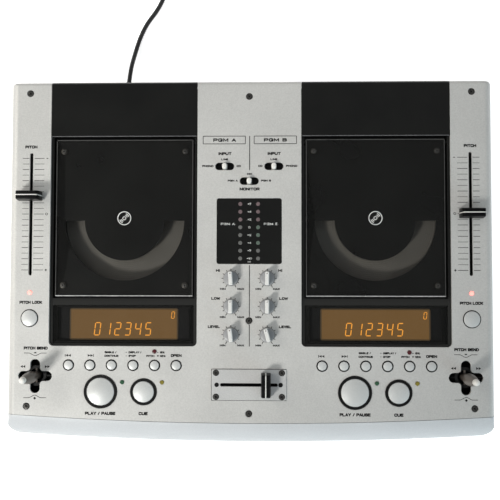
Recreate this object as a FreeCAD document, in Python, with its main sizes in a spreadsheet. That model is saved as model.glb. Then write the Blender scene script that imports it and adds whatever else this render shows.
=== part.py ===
"""A tabletop console with two lidded disc decks and a two-channel mixer between them.

The frame: X to the right, Y to the rear, Z up, millimetres. The origin lies under the middle of the
case, on the surface that the feet stand on.
"""

import FreeCAD, Part

import math
import os
import re

import Sketcher
from FreeCAD import Vector

# The driving dimensions, by alias. Lengths are in millimetres and angles in degrees.
SIZES = {
    # Case
    "case_width": 430,
    "case_depth": 322,
    "panel_height": 88,
    "foot_height": 6,
    "foot_radius": 11,
    "foot_inset": 35,
    "foot_end_inset": 33,
    "foot_taper": 1,
    "cover_wall": 2.4,
    "side_round": 7,
    "rear_round": 3.5,
    "rear_lip": 13,
    "skirt_gap": 6,
    "seam_gap": 0.3,
    "fit_gap": 0.3,
    "front_bow": 3300,
    "bezel_depth": 18.7,
    "bezel_drop": 18,
    "bezel_crown": 3,
    "bezel_corner": 11,
    "tray_wall": 1.2,
    "tray_side": 24,
    "rear_wall_inset": 3.5,
    # Screws that hold the cover to the posts of the base tray
    "screw_head_radius": 2.8,
    "screw_head_height": 1.8,
    "screw_sink": 2.2,
    "screw_radius": 1.5,
    "screw_length": 12,
    "boss_radius": 5.5,
    "boss_height": 6,
    "post_radius": 4.5,
    "corner_screw_inset": 18,
    "corner_screw_rear_inset": 10.2,
    "corner_screw_setback": 32.6,
    "rear_screw_inset": 13.7,
    "middle_screw_setback": 108.5,
    "front_screw_setback": 27,
    # Deck panels
    "side_strip": 37.15,
    "mixer_half": 46.25,
    "deck_setback": 85.7,
    "deck_corner": 4,
    "deck_gap": 0.35,
    "deck_strip": 2.05,
    "deck_flange": 4,
    "deck_skin": 2,
    "deck_drop": 2.7,
    "rear_cover_setback": 272.5,
    "recess_depth": 11,
    "disc_setback": 197.5,
    "well_rim": 1.65,
    "well_depth": 20,
    "hub_opening": 18,
    # Lids
    "lid_front_setback": 129.5,
    "lid_rear_setback": 270.4,
    "lid_drop": 4,
    "lid_thickness": 5,
    "lid_hinge_inset": 2.5,
    "lid_gap": 1.55,
    "plate_thickness": 1.6,
    "plate_gap": 0.15,
    "ring_margin": 8.05,
    "ring_width": 17.9,
    "lid_screw_inset": 7.25,
    "lid_screw_rear_inset": 10.8,
    "lid_screw_front_inset": 10.05,
    "lid_screw_head": 2.75,
    "lid_screw_rise": 1.2,
    "lid_screw_shank": 1.2,
    "lid_pin": 1,
    "running_gap": 0.05,
    "puck_radius": 15,
    "puck_gap": 1.2,
    # Disc drive
    "disc_height": 16.5,
    "disc_thickness": 1.2,
    "turntable_radius": 16,
    "turntable_thickness": 2.7,
    "hub_radius": 7.4,
    "hub_rise": 1.9,
    "spindle_radius": 1,
    "spindle_reach": 10,
    "shaft_hole": 5,
    "motor_radius": 12,
    "motor_height": 12,
    "frame_plate": 1.2,
    "frame_half_width": 46,
    "frame_front": -42,
    "frame_rear": 69,
    "sled_rest": 30,
    "sled_inner": 24,
    "sled_outer": 54,
    "lens_radius": 3,
    "lens_clear": 1.1,
    "pickup_half_width": 8.8,
    "pickup_half_depth": 6,
    "pickup_root": 3,
    "pickup_gap": 0.8,
    "pickup_reach": 1,
    "sled_edge": 4,
    "sled_half_depth": 8,
    "sled_drop": 3.2,
    "rod_x": 17,
    "rod_radius": 1.5,
    "rod_drop": 4.1,
    "bracket_length": 3,
    "sled_motor_radius": 6,
    "sled_motor_length": 18,
    # Display and meter windows
    "window_thickness": 1.5,
    "window_margin": 3.1,
    "window_setback": 88,
    "window_rear_setback": 121.9,
    "window_ledge": 2,
    "screen_margin": 13.2,
    "screen_depth": 29,
    "screen_setback": 105,
    "screen_drop": 8,
    "meter_width": 57.2,
    "meter_setback": 158.8,
    "meter_rear_setback": 216.5,
    # Boards
    "board_drop": 14,
    "board_thickness": 1.6,
    "board_margin": 14,
    "board_gap": 1,
    "pitch_board_width": 16,
    "switch_height": 4,
    "switch_well": 2,
    "switch_half": 3.2,
    "lamp_radius": 1.8,
    "lamp_rise": 0.5,
    "front_lamp_setback": 54,
    "side_lamp_x": 35.3,
    "rear_lamp_x": 28.5,
    "rear_lamp_setback": 81.1,
    "meter_lamp_x": 7.9,
    "meter_lamp_inset": 4.7,
    "meter_lamp_pitch": 6.92,
    "meter_lamp_count": 8,
    "meter_lamp_drop": 3.5,
    # Push buttons
    "small_button_setback": 68.9,
    "small_button_margin": 18,
    "small_hole": 4.7,
    "small_cap": 3.9,
    "small_rise": 1.2,
    "play_x": -19.1,
    "cue_x": 19.05,
    "big_button_setback": 45.7,
    "play_ring": 14.85,
    "play_cap": 12.2,
    "cue_ring": 11.9,
    "cue_cap": 9.2,
    "big_rise": 2.4,
    "lock_hole": 7.6,
    "lock_cap": 7.05,
    "lock_rise": 2,
    "cap_dome": 3,
    "cap_skirt": 5,
    "flange_thickness": 1.2,
    "flange_overlap": 1.1,
    "collar_rise": 0.6,
    "collar_gap": 0.45,
    "stem_radius": 1.4,
    # Pitch section
    "pitch_inset": 19.75,
    "pitch_zero_setback": 203,
    "pitch_slot_length": 109.6,
    "slot_width": 2.9,
    "pitch_rest_a": 15.8,
    "pitch_rest_b": 0,
    "pitch_lamp_setback": 132.9,
    "lock_setback": 110.2,
    "fader_cap_length": 21.4,
    "fader_cap_width": 8.6,
    "fader_cap_height": 14,
    "fader_cap_top_length": 20.2,
    "fader_cap_top_width": 7,
    "fader_lift": 0.8,
    "fader_stem_width": 1.4,
    "fader_stem_length": 5,
    "fader_body_width": 14,
    "fader_body_height": 11,
    "fader_body_end": 8,
    # Joysticks
    "stick_inset": 25.4,
    "stick_setback": 59.1,
    "cross_span": 30,
    "cross_arm": 8.7,
    "cross_round": 3,
    "stick_pivot": 6,
    "stick_root": 12,
    "stick_neck": 3.6,
    "stick_neck_rise": 1.5,
    "stick_belly": 5.2,
    "stick_belly_rise": 13,
    "stick_shoulder": 4.6,
    "stick_shoulder_rise": 24,
    "stick_tip": 2.7,
    "stick_tip_rise": 38,
    "gimbal_inner": 6.5,
    "gimbal_outer": 9,
    "gimbal_half": 1.6,
    "stick_box": 36,
    "stick_box_wall": 1.6,
    "stick_box_depth": 22,
    # Mixer
    "selector_x": 21.9,
    "selector_setback": 245.45,
    "monitor_setback": 232.3,
    "selector_slot": 16.9,
    "selector_width": 6.8,
    "lever_width": 4.4,
    "lever_depth": 5.6,
    "lever_rise": 5,
    "lever_root": 5,
    "selector_travel": 4.8,
    "switch_length": 21.9,
    "switch_depth": 10,
    "knob_x": 16.07,
    "knob_hi_setback": 145.8,
    "knob_pitch": 24.85,
    "knob_radius": 6.5,
    "knob_top_radius": 6.11,
    "knob_skirt": 5.5,
    "knob_height": 12.5,
    "knob_ridge": 3.4,
    "knob_lift": 0.6,
    "knob_shaft": 3,
    "knob_hole": 3.5,
    "pot_half": 6.5,
    "pot_floor": 0.7,
    "knob_turn_hi_a": 4,
    "knob_turn_low_a": 0,
    "knob_turn_level_a": 7,
    "knob_turn_hi_b": 0,
    "knob_turn_low_b": 0,
    "knob_turn_level_b": 15,
    "fader_setback": 52.25,
    "fader_plate_width": 65.6,
    "fader_plate_depth": 26.9,
    "fader_plate_thickness": 1,
    "fader_plate_corner": 1.5,
    "fader_slot_length": 50.7,
    "fader_rest": 15,
    "fader_screw_x": 28.97,
    "fader_screw_y": 10.45,
    "plate_screw_rise": 0.5,
    "plate_screw_length": 4.4,
    # Inside the case and on its rear wall
    "jack_recess": 9,
    "jack_field_width": 190,
    "jack_field_low": 20,
    "jack_field_high": 52,
    "jack_radius": 4.15,
    "jack_length": 8,
    "jack_bore": 1.6,
    "jack_spacing": 36,
    "jack_row": 9,
    "jack_panel": 1.5,
    "transformer_inset": 65,
    "transformer_rear_inset": 61,
    "transformer_width": 62,
    "transformer_depth": 50,
    "transformer_height": 40,
    "winding_overhang": 8,
    "winding_inset": 5,
    "main_board_x": 40,
    "main_board_setback": 191,
    "main_board_width": 190,
    "main_board_depth": 120,
    "standoff": 8,
    # Mains lead
    "cord_radius": 2.15,
    "cord_exit_x": -121,
    "cord_exit_z": 14,
    "relief_length": 21,
    "relief_root": 4.5,
    "relief_tip": 3,
    "relief_flange": 6,
    "relief_flange_length": 2,
    "coil_x": -58,
    "coil_y": 306,
    "coil_turn_radius": 25,
    "coil_layers": 4,
    "coil_columns": 3,
    "plug_width": 24,
    "plug_length": 30,
    "plug_height": 15,
    "plug_round": 4.8,
    "plug_offset": 6,
    "blade_spacing": 12.7,
    "blade_thickness": 1.5,
    "blade_depth": 6.3,
    "blade_length": 16,
}

DECKS = {"a": "-deck_x", "b": "deck_x"}
SIDES = {"a": -1, "b": 1}
CORNERS = [(-1, -1), (-1, 1), (1, -1), (1, 1)]
# How far a cutting tool runs past the face that it cuts, and a boss runs into what carries it.
PAST = 1
SMALL_BUTTONS = ["previous", "next", "single", "display", "pitch_range", "open"]
MIXER_KNOBS = ["hi", "low", "level"]

# What follows from the dimensions, as words for formulas. A setback is taken from the front edge of the
# case, and an inset from the side, the rear edge or the part that carries the piece.
PLACES = {
    "case_front": "-case_depth / 2",
    "case_rear": "case_depth / 2",
    "case_side": "case_width / 2",
    "deck_front": "case_front + deck_setback",
    "disc_y": "case_front + disc_setback",
    "lid_front": "case_front + lid_front_setback",
    "lid_rear": "case_front + lid_rear_setback",
    "rear_cover_front": "case_front + rear_cover_setback",
    "window_front": "case_front + window_setback",
    "window_rear": "case_front + window_rear_setback",
    "screen_y": "case_front + screen_setback",
    "meter_front": "case_front + meter_setback",
    "meter_rear": "case_front + meter_rear_setback",
    "small_button_y": "case_front + small_button_setback",
    "big_button_y": "case_front + big_button_setback",
    "front_lamp_y": "case_front + front_lamp_setback",
    "rear_lamp_y": "case_front + rear_lamp_setback",
    "pitch_zero_y": "case_front + pitch_zero_setback",
    "pitch_lamp_y": "case_front + pitch_lamp_setback",
    "lock_y": "case_front + lock_setback",
    "stick_y": "case_front + stick_setback",
    "selector_y": "case_front + selector_setback",
    "monitor_y": "case_front + monitor_setback",
    "knob_hi_y": "case_front + knob_hi_setback",
    "fader_y": "case_front + fader_setback",
    "corner_screw_front": "case_front + corner_screw_setback",
    "centre_screw_middle": "case_front + middle_screw_setback",
    "centre_screw_front": "case_front + front_screw_setback",
    "main_board_y": "case_front + main_board_setback",
    "corner_screw_rear": "case_rear - corner_screw_rear_inset",
    "centre_screw_rear": "case_rear - rear_screw_inset",
    "transformer_y": "case_rear - transformer_rear_inset",
    "foot_y": "case_rear - foot_end_inset",
    "pitch_x": "case_side - pitch_inset",
    "stick_x": "case_side - stick_inset",
    "corner_screw_x": "case_side - corner_screw_inset",
    "foot_x": "case_side - foot_inset",
    "transformer_x": "transformer_inset - case_side",
    "deck_opening": "case_side - side_strip - mixer_half",
    "deck_x": "mixer_half + deck_opening / 2",
    "deck_inside": "deck_opening / 2 - deck_gap - deck_strip",
    "lid_width": "2 * (deck_inside - lid_gap)",
    "well_radius": "deck_inside - well_rim",
    "window_width": "deck_opening - 2 * window_margin",
    "screen_width": "window_width - 2 * screen_margin",
    "ring_outer": "well_radius - ring_margin",
    "ring_inner": "ring_outer - ring_width",
    "lid_screw_x": "lid_width / 2 - lid_screw_inset",
    "lid_screw_rear": "lid_rear - lid_screw_rear_inset",
    "lid_screw_front": "lid_front + lid_screw_front_inset",
    "meter_lamp_rear": "meter_rear - meter_lamp_inset",
    "small_button_pitch": f"(deck_opening - 2 * small_button_margin) / {len(SMALL_BUTTONS) - 1}",
}

doc = FreeCAD.newDocument("disc_console")
sheet = doc.addObject("Spreadsheet::Sheet", "dims")
for row, (alias, number) in enumerate(SIZES.items(), start=1):
    sheet.set(f"A{row}", alias)
    sheet.set(f"B{row}", str(number))
    sheet.setAlias(f"B{row}", alias)
doc.recompute()

WORD = re.compile(r"[a-z_]+")
AXES = {
    "x": FreeCAD.Rotation(Vector(0, 1, 0), 90),
    "y": FreeCAD.Rotation(Vector(1, 0, 0), -90),
    "z": FreeCAD.Rotation(),
}
nodes = {}


def formula(text):
    """Writes out each place in a formula, and turns each alias into a reference to its cell."""
    text = str(text)
    while any(word in PLACES for word in WORD.findall(text)):
        text = WORD.sub(lambda word: f"({PLACES[word[0]]})" if word[0] in PLACES else word[0], text)
    return WORD.sub(lambda word: f"dims.{word[0]}" if word[0] in SIZES else word[0], text)


def cell(alias):
    return float(sheet.get(alias))


def move(piece, x=0, y=0, z=0):
    """Binds where a piece's own origin lies."""
    for axis, place in (("x", x), ("y", y), ("z", z)):
        piece.setExpression(f"Placement.Base.{axis}", formula(place))
    return piece


def span(low, high):
    return f"({high}) - ({low})"


def box(name, x, y, z):
    """A block between two formulas on each axis."""
    piece = doc.addObject("Part::Box", name)
    for side, (low, high) in (("Length", x), ("Width", y), ("Height", z)):
        piece.setExpression(side, formula(span(low, high)))
    return move(piece, x[0], y[0], z[0])


def middle(centre, size):
    """The low and high ends of a size about a centre."""
    return (f"({centre}) - ({size}) / 2", f"({centre}) + ({size}) / 2")


def cylinder(name, at, radius, length, axis="z"):
    """A cylinder that starts at a point and runs along an axis."""
    piece = doc.addObject("Part::Cylinder", name)
    piece.setExpression("Radius", formula(radius))
    piece.setExpression("Height", formula(length))
    piece.Placement.Rotation = AXES[axis]
    return move(piece, *at)


def upright(name, x, y, radius, low, high):
    """A vertical cylinder between two heights."""
    return cylinder(name, (x, y, low), radius, span(low, high))


def cone(name, at, radius, end_radius, length, axis="z"):
    piece = doc.addObject("Part::Cone", name)
    piece.setExpression("Radius1", formula(radius))
    piece.setExpression("Radius2", formula(end_radius))
    piece.setExpression("Height", formula(length))
    piece.Placement.Rotation = AXES[axis]
    return move(piece, *at)


def fuse(name, pieces):
    if len(pieces) == 1:
        return pieces[0]
    whole = doc.addObject("Part::MultiFuse", name)
    whole.Shapes = pieces
    return whole


def cut(name, base, tools):
    piece = doc.addObject("Part::Cut", name)
    piece.Base = base
    piece.Tool = fuse(f"{name}_tools", tools)
    return piece


def common(name, first, second):
    piece = doc.addObject("Part::Common", name)
    piece.Base = first
    piece.Tool = second
    return piece


def group(name, pieces):
    """Separate solids that make one node."""
    whole = doc.addObject("Part::Compound", name)
    whole.Links = pieces
    return whole


def node(label, piece, x=0, y=0, z=0):
    """Registers a finished sub-part under its own name, at its place."""
    piece.Label = label
    nodes[label] = move(piece, x, y, z)
    return piece


def origin_plane(body, role):
    return next(item for item in body.Origin.OriginFeatures if item.Role == role)


def rectangle(sketch, x, y):
    """Draws a rectangle between two formulas on each sketch axis, bound by its distances from the origin."""
    corners = [Vector(-1, -1, 0), Vector(1, -1, 0), Vector(1, 1, 0), Vector(-1, 1, 0)]
    first = sketch.GeometryCount
    for n in range(4):
        sketch.addGeometry(Part.LineSegment(corners[n], corners[(n + 1) % 4]), False)
    for n in range(4):
        sketch.addConstraint(Sketcher.Constraint("Coincident", first + n, 2, first + (n + 1) % 4, 1))
    for n, kind in enumerate(("Horizontal", "Vertical", "Horizontal", "Vertical")):
        sketch.addConstraint(Sketcher.Constraint(kind, first + n))
    places = (
        ("DistanceX", 0, x[0]),
        ("DistanceY", 0, y[0]),
        ("DistanceX", 2, x[1]),
        ("DistanceY", 2, y[1]),
    )
    for kind, corner, place in places:
        start = -1 if corner == 0 else 1
        index = sketch.addConstraint(Sketcher.Constraint(kind, -1, 1, first + corner, 1, float(start)))
        sketch.setExpression(f"Constraints[{index}]", formula(place))


def padded_block(name, x, y, z, rounds=()):
    """A padded rectangle, with the edges that each test picks rounded by a formula's radius."""
    body = doc.addObject("PartDesign::Body", name)
    sketch = body.newObject("Sketcher::SketchObject", f"{name}_outline")
    sketch.AttachmentSupport = [(origin_plane(body, "XY_Plane"), "")]
    sketch.MapMode = "FlatFace"
    rectangle(sketch, x, y)
    sketch.setExpression("AttachmentOffset.Base.z", formula(z[0]))
    last = body.newObject("PartDesign::Pad", f"{name}_pad")
    last.Profile = sketch
    last.setExpression("Length", formula(span(*z)))
    doc.recompute()
    for n, (test, radius) in enumerate(rounds):
        box_size = last.Shape.BoundBox
        edges = [
            f"Edge{index}"
            for index, edge in enumerate(last.Shape.Edges, start=1)
            if test(edge, box_size)
        ]
        rounding = body.newObject("PartDesign::Fillet", f"{name}_round_{n}")
        rounding.Base = (last, edges)
        rounding.setExpression("Radius", formula(radius))
        doc.recompute()
        last = rounding
    return body


def is_upright(edge):
    first, last = edge.Vertexes[0].Point, edge.Vertexes[-1].Point
    return math.hypot(first.x - last.x, first.y - last.y) < 0.01 and abs(first.z - last.z) > 0.01


def rear_upright(edge, bounds):
    return is_upright(edge) and edge.CenterOfMass.y > bounds.Center.y


def front_upright(edge, bounds):
    return is_upright(edge) and edge.CenterOfMass.y < bounds.Center.y


def any_upright(edge, bounds):
    return is_upright(edge)


def on_top(edge, bounds):
    return all(abs(vertex.Z - bounds.ZMax) < 0.01 for vertex in edge.Vertexes)


def top_side(edge, bounds):
    """The top edges along both sides."""
    return on_top(edge, bounds) and abs(abs(edge.CenterOfMass.x) - bounds.XMax) < 0.01


def top_rear(edge, bounds):
    return on_top(edge, bounds) and abs(edge.CenterOfMass.y - bounds.YMax) < 0.01


# ---- Case ----

HALF_WIDTH = "case_width / 2"
HALF_DEPTH = "case_depth / 2"
SKIRT = "foot_height + skirt_gap"
CREASE = "-case_depth / 2 + bezel_depth"
UNDER_COVER = "panel_height - cover_wall"
BOARD_TOP = "panel_height - board_drop"
BOARD_BOTTOM = "panel_height - board_drop - board_thickness"
TRAY_TOP = "foot_height + tray_wall"
BOSS_BOTTOM = "panel_height - cover_wall - boss_height"
REAR_WALL = "case_depth / 2 - rear_wall_inset"
BRACKET_LOW = "jack_field_high + jack_panel"

CASE_SCREWS = [
    ("-corner_screw_x", "corner_screw_rear"),
    ("corner_screw_x", "corner_screw_rear"),
    ("-corner_screw_x", "corner_screw_front"),
    ("corner_screw_x", "corner_screw_front"),
    ("0", "centre_screw_rear"),
    ("0", "centre_screw_middle"),
    ("0", "centre_screw_front"),
]
PLATE_SCREWS = [(f"{x} * fader_screw_x", f"fader_y + {y} * fader_screw_y") for x, y in CORNERS]
LAMPS = [("0", "front_lamp_y"), ("side_lamp_x", "front_lamp_y"), ("rear_lamp_x", "rear_lamp_y")]
LID_SCREWS = [
    ("-lid_screw_x", "lid_screw_rear"),
    ("lid_screw_x", "lid_screw_rear"),
    ("-lid_screw_x", "lid_screw_front"),
    ("lid_screw_x", "lid_screw_front"),
]


def bowed(name, front, low, high, bow="front_bow"):
    """A huge disc whose near edge is the gentle bow of the front."""
    return cylinder(name, ("0", f"({front}) + {bow}", low), bow, span(low, high))


def button_columns(deck):
    """Where the small buttons of a deck stand along X."""
    first = (1 - len(SMALL_BUTTONS)) / 2
    return [f"{deck} + {first + n} * small_button_pitch" for n in range(len(SMALL_BUTTONS))]


def knob_rows():
    return [f"(knob_hi_y - {n} * knob_pitch)" for n in range(len(MIXER_KNOBS))]


def slot_tool(name, x, y, length, width, low, high, along="x"):
    """A slot with round ends."""
    reach = f"(({length}) - ({width})) / 2"
    if along == "x":
        ends = [(f"({x}) - {reach}", y), (f"({x}) + {reach}", y)]
        bar = box(f"{name}_bar", (ends[0][0], ends[1][0]), middle(y, width), (low, high))
    else:
        ends = [(x, f"({y}) - {reach}"), (x, f"({y}) + {reach}")]
        bar = box(f"{name}_bar", middle(x, width), (ends[0][1], ends[1][1]), (low, high))
    rounds = [upright(f"{name}_end", ex, ey, f"({width}) / 2", low, high) for ex, ey in ends]
    return fuse(name, [bar] + rounds)


def cross_centre(x, y, low, high):
    """The middle of a cross-shaped opening, which rounds the corners between its arms."""
    reach = "(cross_arm / 2 + cross_round)"
    block = box("cross_block", middle(x, f"2 * {reach}"), middle(y, f"2 * {reach}"), (low, high))
    corners = []
    for sx, sy in CORNERS:
        corner = (f"{x} + ({sx}) * {reach}", f"{y} + ({sy}) * {reach}")
        corners.append(upright("cross_corner", *corner, "cross_round", low, high))
    return cut("cross_centre", block, corners)


def control_holes():
    """Everything that comes up through the cover, apart from the decks."""
    through = (f"{UNDER_COVER} - {PAST}", f"panel_height + {PAST}")
    lamp = "lamp_radius + seam_gap / 2"
    selector_hole = ("selector_slot", "selector_width")
    holes = []
    for deck in DECKS.values():
        for x in button_columns(deck):
            holes.append(upright("small_button_hole", x, "small_button_y", "small_hole", *through))
        for word in ("play", "cue"):
            place = (f"{deck} + {word}_x", "big_button_y")
            holes.append(upright(f"{word}_hole", *place, f"{word}_ring", *through))
        for x, y in LAMPS:
            holes.append(upright("lamp_hole", f"{deck} + ({x})", y, lamp, *through))
    for side in SIDES.values():
        pitch = f"{side} * pitch_x"
        track = ("pitch_slot_length", "slot_width")
        holes.append(slot_tool("pitch_slot", pitch, "pitch_zero_y", *track, *through, along="y"))
        holes.append(upright("lock_hole", pitch, "lock_y", "lock_hole", *through))
        holes.append(upright("pitch_lamp_hole", pitch, "pitch_lamp_y", lamp, *through))
        stick = (f"{side} * stick_x", "stick_y")
        for along in ("x", "y"):
            arm = ("cross_span", "cross_arm")
            holes.append(slot_tool(f"stick_slot_{along}", *stick, *arm, *through, along=along))
        holes.append(cross_centre(*stick, *through))
        holes.append(
            slot_tool("input_slot", f"{side} * selector_x", "selector_y", *selector_hole, *through)
        )
        for y in knob_rows():
            holes.append(upright("knob_hole", f"{side} * knob_x", y, "knob_hole", *through))
    holes.append(slot_tool("monitor_slot", "0", "monitor_y", *selector_hole, *through))
    stem_way = middle("fader_y", "slot_width + 4 * fit_gap")
    holes.append(box("crossfader_hole", middle("0", "fader_slot_length"), stem_way, through))
    for x, y in PLATE_SCREWS:
        holes.append(upright("plate_screw_hole", x, y, "screw_radius", *through))
    return holes


def deck_opening(name, deck, gap, low, high):
    """The rectangle of one deck, open to the rear, with round front corners."""
    return padded_block(
        name,
        middle(deck, f"deck_opening - 2 * ({gap})"),
        (f"deck_front + ({gap})", HALF_DEPTH),
        (low, high),
        [(front_upright, f"deck_corner - ({gap})")],
    )


def top_cover():
    block = padded_block(
        "cover_block",
        (f"-{HALF_WIDTH}", HALF_WIDTH),
        (f"-{HALF_DEPTH}", HALF_DEPTH),
        (SKIRT, "panel_height"),
        [(top_side, "side_round"), (rear_upright, "rear_round")],
    )
    cavity = padded_block(
        "cover_cavity",
        (f"-{HALF_WIDTH} + cover_wall", f"{HALF_WIDTH} - cover_wall"),
        (f"-{HALF_DEPTH} - cover_wall", f"{HALF_DEPTH} - cover_wall"),
        (f"{SKIRT} - {PAST}", UNDER_COVER),
        [(top_side, "side_round - cover_wall"), (rear_upright, "rear_round - cover_wall")],
    )
    front = bowed("cover_front", CREASE, f"{SKIRT} - {PAST}", f"panel_height + {PAST}")
    shell = cut("cover_shell", common("cover_plan", block, front), [cavity])
    bosses = [
        upright("cover_boss", x, y, "boss_radius", BOSS_BOTTOM, f"{UNDER_COVER} + cover_wall / 2")
        for x, y in CASE_SCREWS
    ]
    tools = control_holes()
    tools.append(
        box(
            "rear_mouth",
            (f"-{HALF_WIDTH} + cover_wall", f"{HALF_WIDTH} - cover_wall"),
            (f"{HALF_DEPTH} - 2 * cover_wall", f"{HALF_DEPTH} + {PAST}"),
            (f"{SKIRT} - {PAST}", "panel_height - rear_lip"),
        )
    )
    for name, deck in DECKS.items():
        height = (f"{SKIRT} - {PAST}", f"panel_height + {PAST}")
        tools.append(deck_opening(f"deck_hole_{name}", deck, "0", *height))
    for x, y in CASE_SCREWS:
        sink = ("panel_height - screw_sink", f"panel_height + {PAST}")
        tools.append(upright("screw_sink", x, y, "screw_head_radius + seam_gap", *sink))
        bore = (f"{BOSS_BOTTOM} - {PAST}", "panel_height")
        tools.append(upright("screw_pass", x, y, "screw_radius + seam_gap", *bore))
    tools.append(
        box(
            "meter_seat",
            middle("0", "meter_width + seam_gap"),
            ("meter_front - seam_gap / 2", "meter_rear + seam_gap / 2"),
            ("panel_height - window_thickness", f"panel_height + {PAST}"),
        )
    )
    tools.append(
        box(
            "meter_hole",
            middle("0", "meter_width - 2 * window_ledge"),
            ("meter_front + window_ledge", "meter_rear - window_ledge"),
            (f"{UNDER_COVER} - {PAST}", f"panel_height + {PAST}"),
        )
    )
    node("top_cover", cut("cover", fuse("cover_with_bosses", [shell] + bosses), tools))


def bezel_plan(name, inset, low, high):
    """The outline of the front seen from above: a bow between two round corners."""
    corner_x = f"{HALF_WIDTH} - bezel_corner"
    corner_y = f"-{HALF_DEPTH} + front_bow - sqrt(front_bow ^ 2 - ({corner_x}) ^ 2) + bezel_corner"
    outline = [
        box(f"{name}_middle", (f"-({corner_x})", corner_x), (f"-{HALF_DEPTH} - {PAST}", "0"), (low, high)),
        box(
            f"{name}_wide",
            (f"-{HALF_WIDTH} + ({inset})", f"{HALF_WIDTH} - ({inset})"),
            (corner_y, "0"),
            (low, high),
        ),
    ]
    for side in SIDES.values():
        place = (f"{side} * ({corner_x})", corner_y)
        outline.append(upright(f"{name}_corner", *place, f"bezel_corner - ({inset})", low, high))
    front = bowed(f"{name}_bow", f"-{HALF_DEPTH} + ({inset})", low, high)
    return common(name, fuse(f"{name}_outline", outline), front)


def bezel_profile(inset, low):
    """The section of the front, crowned from the crease down to an upright face, swept along the bow."""
    bow = cell("front_bow")
    front = -cell("case_depth") / 2
    top = cell("panel_height") - inset
    crease = Vector(0, front + cell("bezel_depth"), top)
    brow = Vector(0, front + inset, cell("panel_height") - cell("bezel_drop"))
    chord = brow - crease
    outward = Vector(0, chord.z, -chord.y).normalize()
    crown = crease + chord / 2 + outward * cell("bezel_crown")
    back = crease.y + cell("bezel_depth")
    edges = [
        Part.Arc(crease, crown, brow).toShape(),
        Part.LineSegment(brow, Vector(0, brow.y, low)).toShape(),
        Part.LineSegment(Vector(0, brow.y, low), Vector(0, back, low)).toShape(),
        Part.LineSegment(Vector(0, back, low), Vector(0, back, top)).toShape(),
        Part.LineSegment(Vector(0, back, top), crease).toShape(),
    ]
    axis = Vector(0, front + bow, 0)
    half_turn = math.degrees(math.asin(cell("case_width") / 2 / (bow - 2 * cell("bezel_depth"))))
    face = Part.Face(Part.Wire(edges))
    face.rotate(axis, Vector(0, 0, 1), -half_turn)
    return face.revolve(axis, Vector(0, 0, 1), 2 * half_turn)


def feature(name, shape):
    piece = doc.addObject("Part::Feature", name)
    piece.Shape = shape
    return piece


def bezel_mass(name, inset, low, rounding):
    """The front as a solid, drawn in by an inset on every outer side."""
    swept = feature(f"{name}_section", bezel_profile(inset, low))
    sides = padded_block(
        f"{name}_sides",
        (f"-{HALF_WIDTH} + {inset}", f"{HALF_WIDTH} - {inset}"),
        (f"-{HALF_DEPTH} - bezel_depth", "0"),
        (low, f"panel_height - {inset}"),
        [(top_side, rounding)],
    )
    plan = bezel_plan(f"{name}_plan", inset, low, f"panel_height + {PAST}")
    return common(name, common(f"{name}_rounded", swept, sides), plan)


def front_bezel():
    wall = cell("cover_wall")
    skirt = cell("foot_height") + cell("skirt_gap")
    outer = bezel_mass("bezel_outer", 0, skirt, "side_round")
    inner = bezel_mass("bezel_inner", wall, skirt - PAST, "side_round - cover_wall")
    seam = bowed("bezel_seam", f"{CREASE} - seam_gap", f"{SKIRT} - {PAST}", f"panel_height + {PAST}")
    node("front_bezel", cut("bezel", cut("bezel_front", outer, [seam]), [inner]))


def tray_plates():
    """The floor, which runs under the front, and the walls riveted round it, open at the jacks."""
    side = f"({HALF_WIDTH} - cover_wall - seam_gap)"
    width = (f"-{side}", side)
    rear_part = box("tray_rear_part", width, ("0", REAR_WALL), ("foot_height", TRAY_TOP))
    floor = fuse("tray_floor", [
        common(
            "tray_front_part",
            box("tray_slab", width, (f"-{HALF_DEPTH}", "0"), ("foot_height", TRAY_TOP)),
            bezel_plan("tray_plan", "cover_wall + seam_gap", "foot_height", "panel_height"),
        ),
        rear_part,
    ])
    height = (TRAY_TOP, "foot_height + tray_side")
    depth = (f"{CREASE} + tray_wall", f"{REAR_WALL} - tray_wall")
    thickness = (f"{REAR_WALL} - tray_wall", REAR_WALL)
    wall_top = "panel_height - rear_lip - fit_gap"
    mouth = "jack_field_width / 2"
    cord_mouth = cylinder(
        "cord_mouth",
        ("cord_exit_x", f"{REAR_WALL} - tray_wall - {PAST}", "cord_exit_z"),
        "relief_root + running_gap",
        f"tray_wall + 2 * {PAST}",
        "y",
    )
    rear_left = box("tray_rear_left", (f"-{side}", f"-{mouth}"), thickness, (TRAY_TOP, wall_top))
    return [
        floor,
        box("tray_front_wall", width, (CREASE, f"{CREASE} + tray_wall"), height),
        box("tray_left_wall", (f"-{side}", f"-{side} + tray_wall"), depth, height),
        box("tray_right_wall", (f"{side} - tray_wall", side), depth, height),
        cut("bored_rear_left", rear_left, [cord_mouth]),
        box("tray_rear_right", (mouth, side), thickness, (TRAY_TOP, wall_top)),
        box("tray_sill", (f"-{mouth}", mouth), thickness, (TRAY_TOP, "jack_field_low")),
        box("tray_lintel", (f"-{mouth}", mouth), thickness, ("jack_field_high", wall_top)),
    ]


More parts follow.
